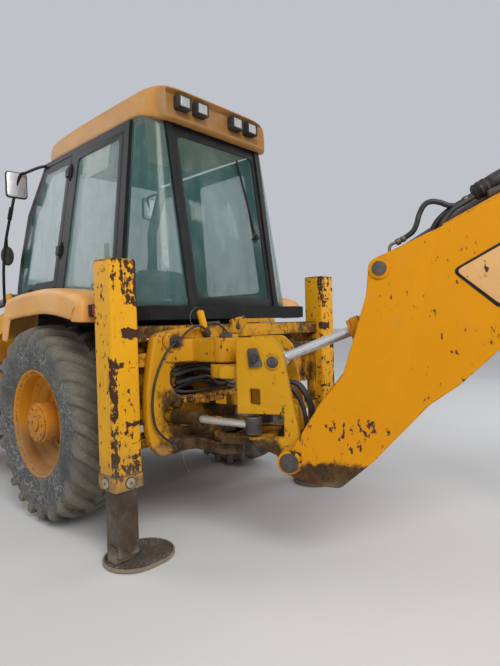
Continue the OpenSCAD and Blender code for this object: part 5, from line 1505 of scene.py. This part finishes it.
def cab_details():
    """Headliner, seat, rear wiper, door handles and the blank notice sheet inside the left side pane."""
    lining = plate(rounded([(-720, -520), (640, -520), (640, 520), (-720, 520)], 90), 2764, 2784, edge=8)
    piece("headliner", lining, "chassis", paint["plastic"], UPRIGHT)
    for name, shape in (
        ("seat_cushion", spun(pad(238, 240, 62, (-110, 0, 110)), (122, 0, 1262))),
        ("seat_back", spun(pad(228, 292, 52, (-120, 20, 150)), (-98, 0, 1600), (0.12, 0, 1), (-1, 0, 0.12))),
        ("armrest_left", spun(pad(150, 28, 26, ()), (98, 291, 1466))),
        ("armrest_right", spun(pad(150, 28, 26, ()), (98, -291, 1466))),
    ):
        made = piece(name, shape, "chassis", paint["cover"], smooth=60)
        if name == "seat_cushion":
            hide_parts("seat")
    base = [block((-56, -166, 1042), (296, 166, 1204), 12)]
    for y_low, y_high in ((224, 262), (-262, -224)):
        base.append(block((-58, y_low, 1322), (-24, y_high, 1480), 6))
    for k in range(5):
        base.append(block((-64, -174, 1060 + k * 28), (304, 174, 1074 + k * 28), 6))
    piece("seat_base", together(*base), "chassis", paint["plastic"])
    wiper = [
        drum((-916, -303, 2024), (-880, -303, 2024), 19, edge=4, steps=24),
        drum((-922, -312, 2018), (-902, -250, 2006), 8, edge=3, steps=16),
        tube([(-906, -303, 2026), (-893, -282, 2100), (-860, -236, 2372)], 6.5, 8),
        tube([(-900, -284, 2060), (-826, -184, 2607)], 8, 8),
    ]
    piece("rear_wiper", together(*wiper), "chassis", paint["black"])
    notice = plate([(50, 2700), (-345, 2694), (-330, 2506), (30, 2500)], 8, 10, edge=0.5)
    piece("notice_sheet", notice, "chassis", paint["nylon"], side_face(1))
    for side_name, side in SIDES:
        handle = together(block((728, -34, 1668), (846, -16, 1694), 7),
                          block((742, -18, 1660), (800, 1, 1702), 5))
        piece(f"door_handle_{side_name}", handle, f"door_{side_name}", paint["plastic"],
              side_face(side))


cab_details()

# Camera and light

# Fitted to the outlines in the photo: millimetres in the axle frame, degrees, and the lens in millimetres
CAMERA_PLACE = (-3446, 2522, 1373)
CAMERA_YAW, CAMERA_PITCH, CAMERA_ROLL = -46.96, -1.32, -1.50
CAMERA_LENS, CAMERA_SENSOR = 26.34, 36
FLOOR_REACH = 60  # metres


def shot():
    """The camera stands where the photo was taken from, turned by yaw, then pitch, then roll."""
    yaw, pitch, roll = map(math.radians, (CAMERA_YAW, CAMERA_PITCH, CAMERA_ROLL))
    ahead = np.array([math.cos(yaw) * math.cos(pitch), math.sin(yaw) * math.cos(pitch), math.sin(pitch)])
    level = np.array([math.sin(yaw), -math.cos(yaw), 0.0])
    above = np.cross(level, ahead)
    right = level * math.cos(roll) + above * math.sin(roll)
    up = above * math.cos(roll) - level * math.sin(roll)
    lens = bpy.data.cameras.new("camera")
    lens.sensor_width = CAMERA_SENSOR
    lens.lens = CAMERA_LENS
    camera = bpy.data.objects.new("camera", lens)
    bpy.context.scene.collection.objects.link(camera)
    turn = Matrix([list(axis) for axis in (right, up, -ahead)]).transposed().to_4x4()
    camera.matrix_world = Matrix.Translation(to_row([CAMERA_PLACE])[0].tolist()) @ turn
    bpy.context.scene.camera = camera


def floor():
    """Plain pale floor round the machine."""
    f = Finish("floor")
    shade = f.noise(0.8, 3)
    material = f.finish(f.mixed(shade, (0.62, 0.62, 0.61), (0.70, 0.70, 0.69)), 0.9)
    mesh = bpy.data.meshes.new("floor")
    corners = [(FLOOR_REACH * x, FLOOR_REACH * y, 0) for x, y in ((-1, -1), (1, -1), (1, 1), (-1, 1))]
    mesh.from_pydata(corners, [], [(0, 1, 2, 3)])
    made = bpy.data.objects.new("floor", mesh)
    mesh.materials.append(material)
    bpy.context.scene.collection.objects.link(made)
    return made


def lamp(name, at, towards, size, watts, colour=(1, 1, 1)):
    """A square soft lamp that faces a point."""
    light = bpy.data.lights.new(name, "AREA")
    light.shape = "SQUARE"
    light.size = size
    light.energy = watts
    light.color = colour
    made = bpy.data.objects.new(name, light)
    made.location = at
    made.rotation_euler = (Vector(towards) - Vector(at)).to_track_quat("-Z", "Y").to_euler()
    bpy.context.scene.collection.objects.link(made)
    return made


def sky():
    """Even pale light from all round."""
    world = bpy.data.worlds.new("studio")
    world.use_nodes = True
    tree = world.node_tree
    tree.nodes.clear()
    output = tree.nodes.new("ShaderNodeOutputWorld")
    soft = tree.nodes.new("ShaderNodeBackground")
    soft.inputs["Color"].default_value = (0.90, 0.93, 1.0, 1)
    soft.inputs["Strength"].default_value = 0.58
    tree.links.new(soft.outputs[0], output.inputs["Surface"])
    bpy.context.scene.world = world


shot()
floor()
lamp("key", (-7.6, 3.4, 6.6), (-1.0, 0, 1.2), 3.5, 430, (1, 0.97, 0.92))
lamp("fill", (-4.5, -7.0, 5.0), (-1.5, 0, 1.2), 4.5, 140)
lamp("front", (8.5, 5.5, 6.0), (1.5, 0, 1.0), 5.0, 260)
sky()
bpy.context.scene.view_settings.view_transform = "Standard"
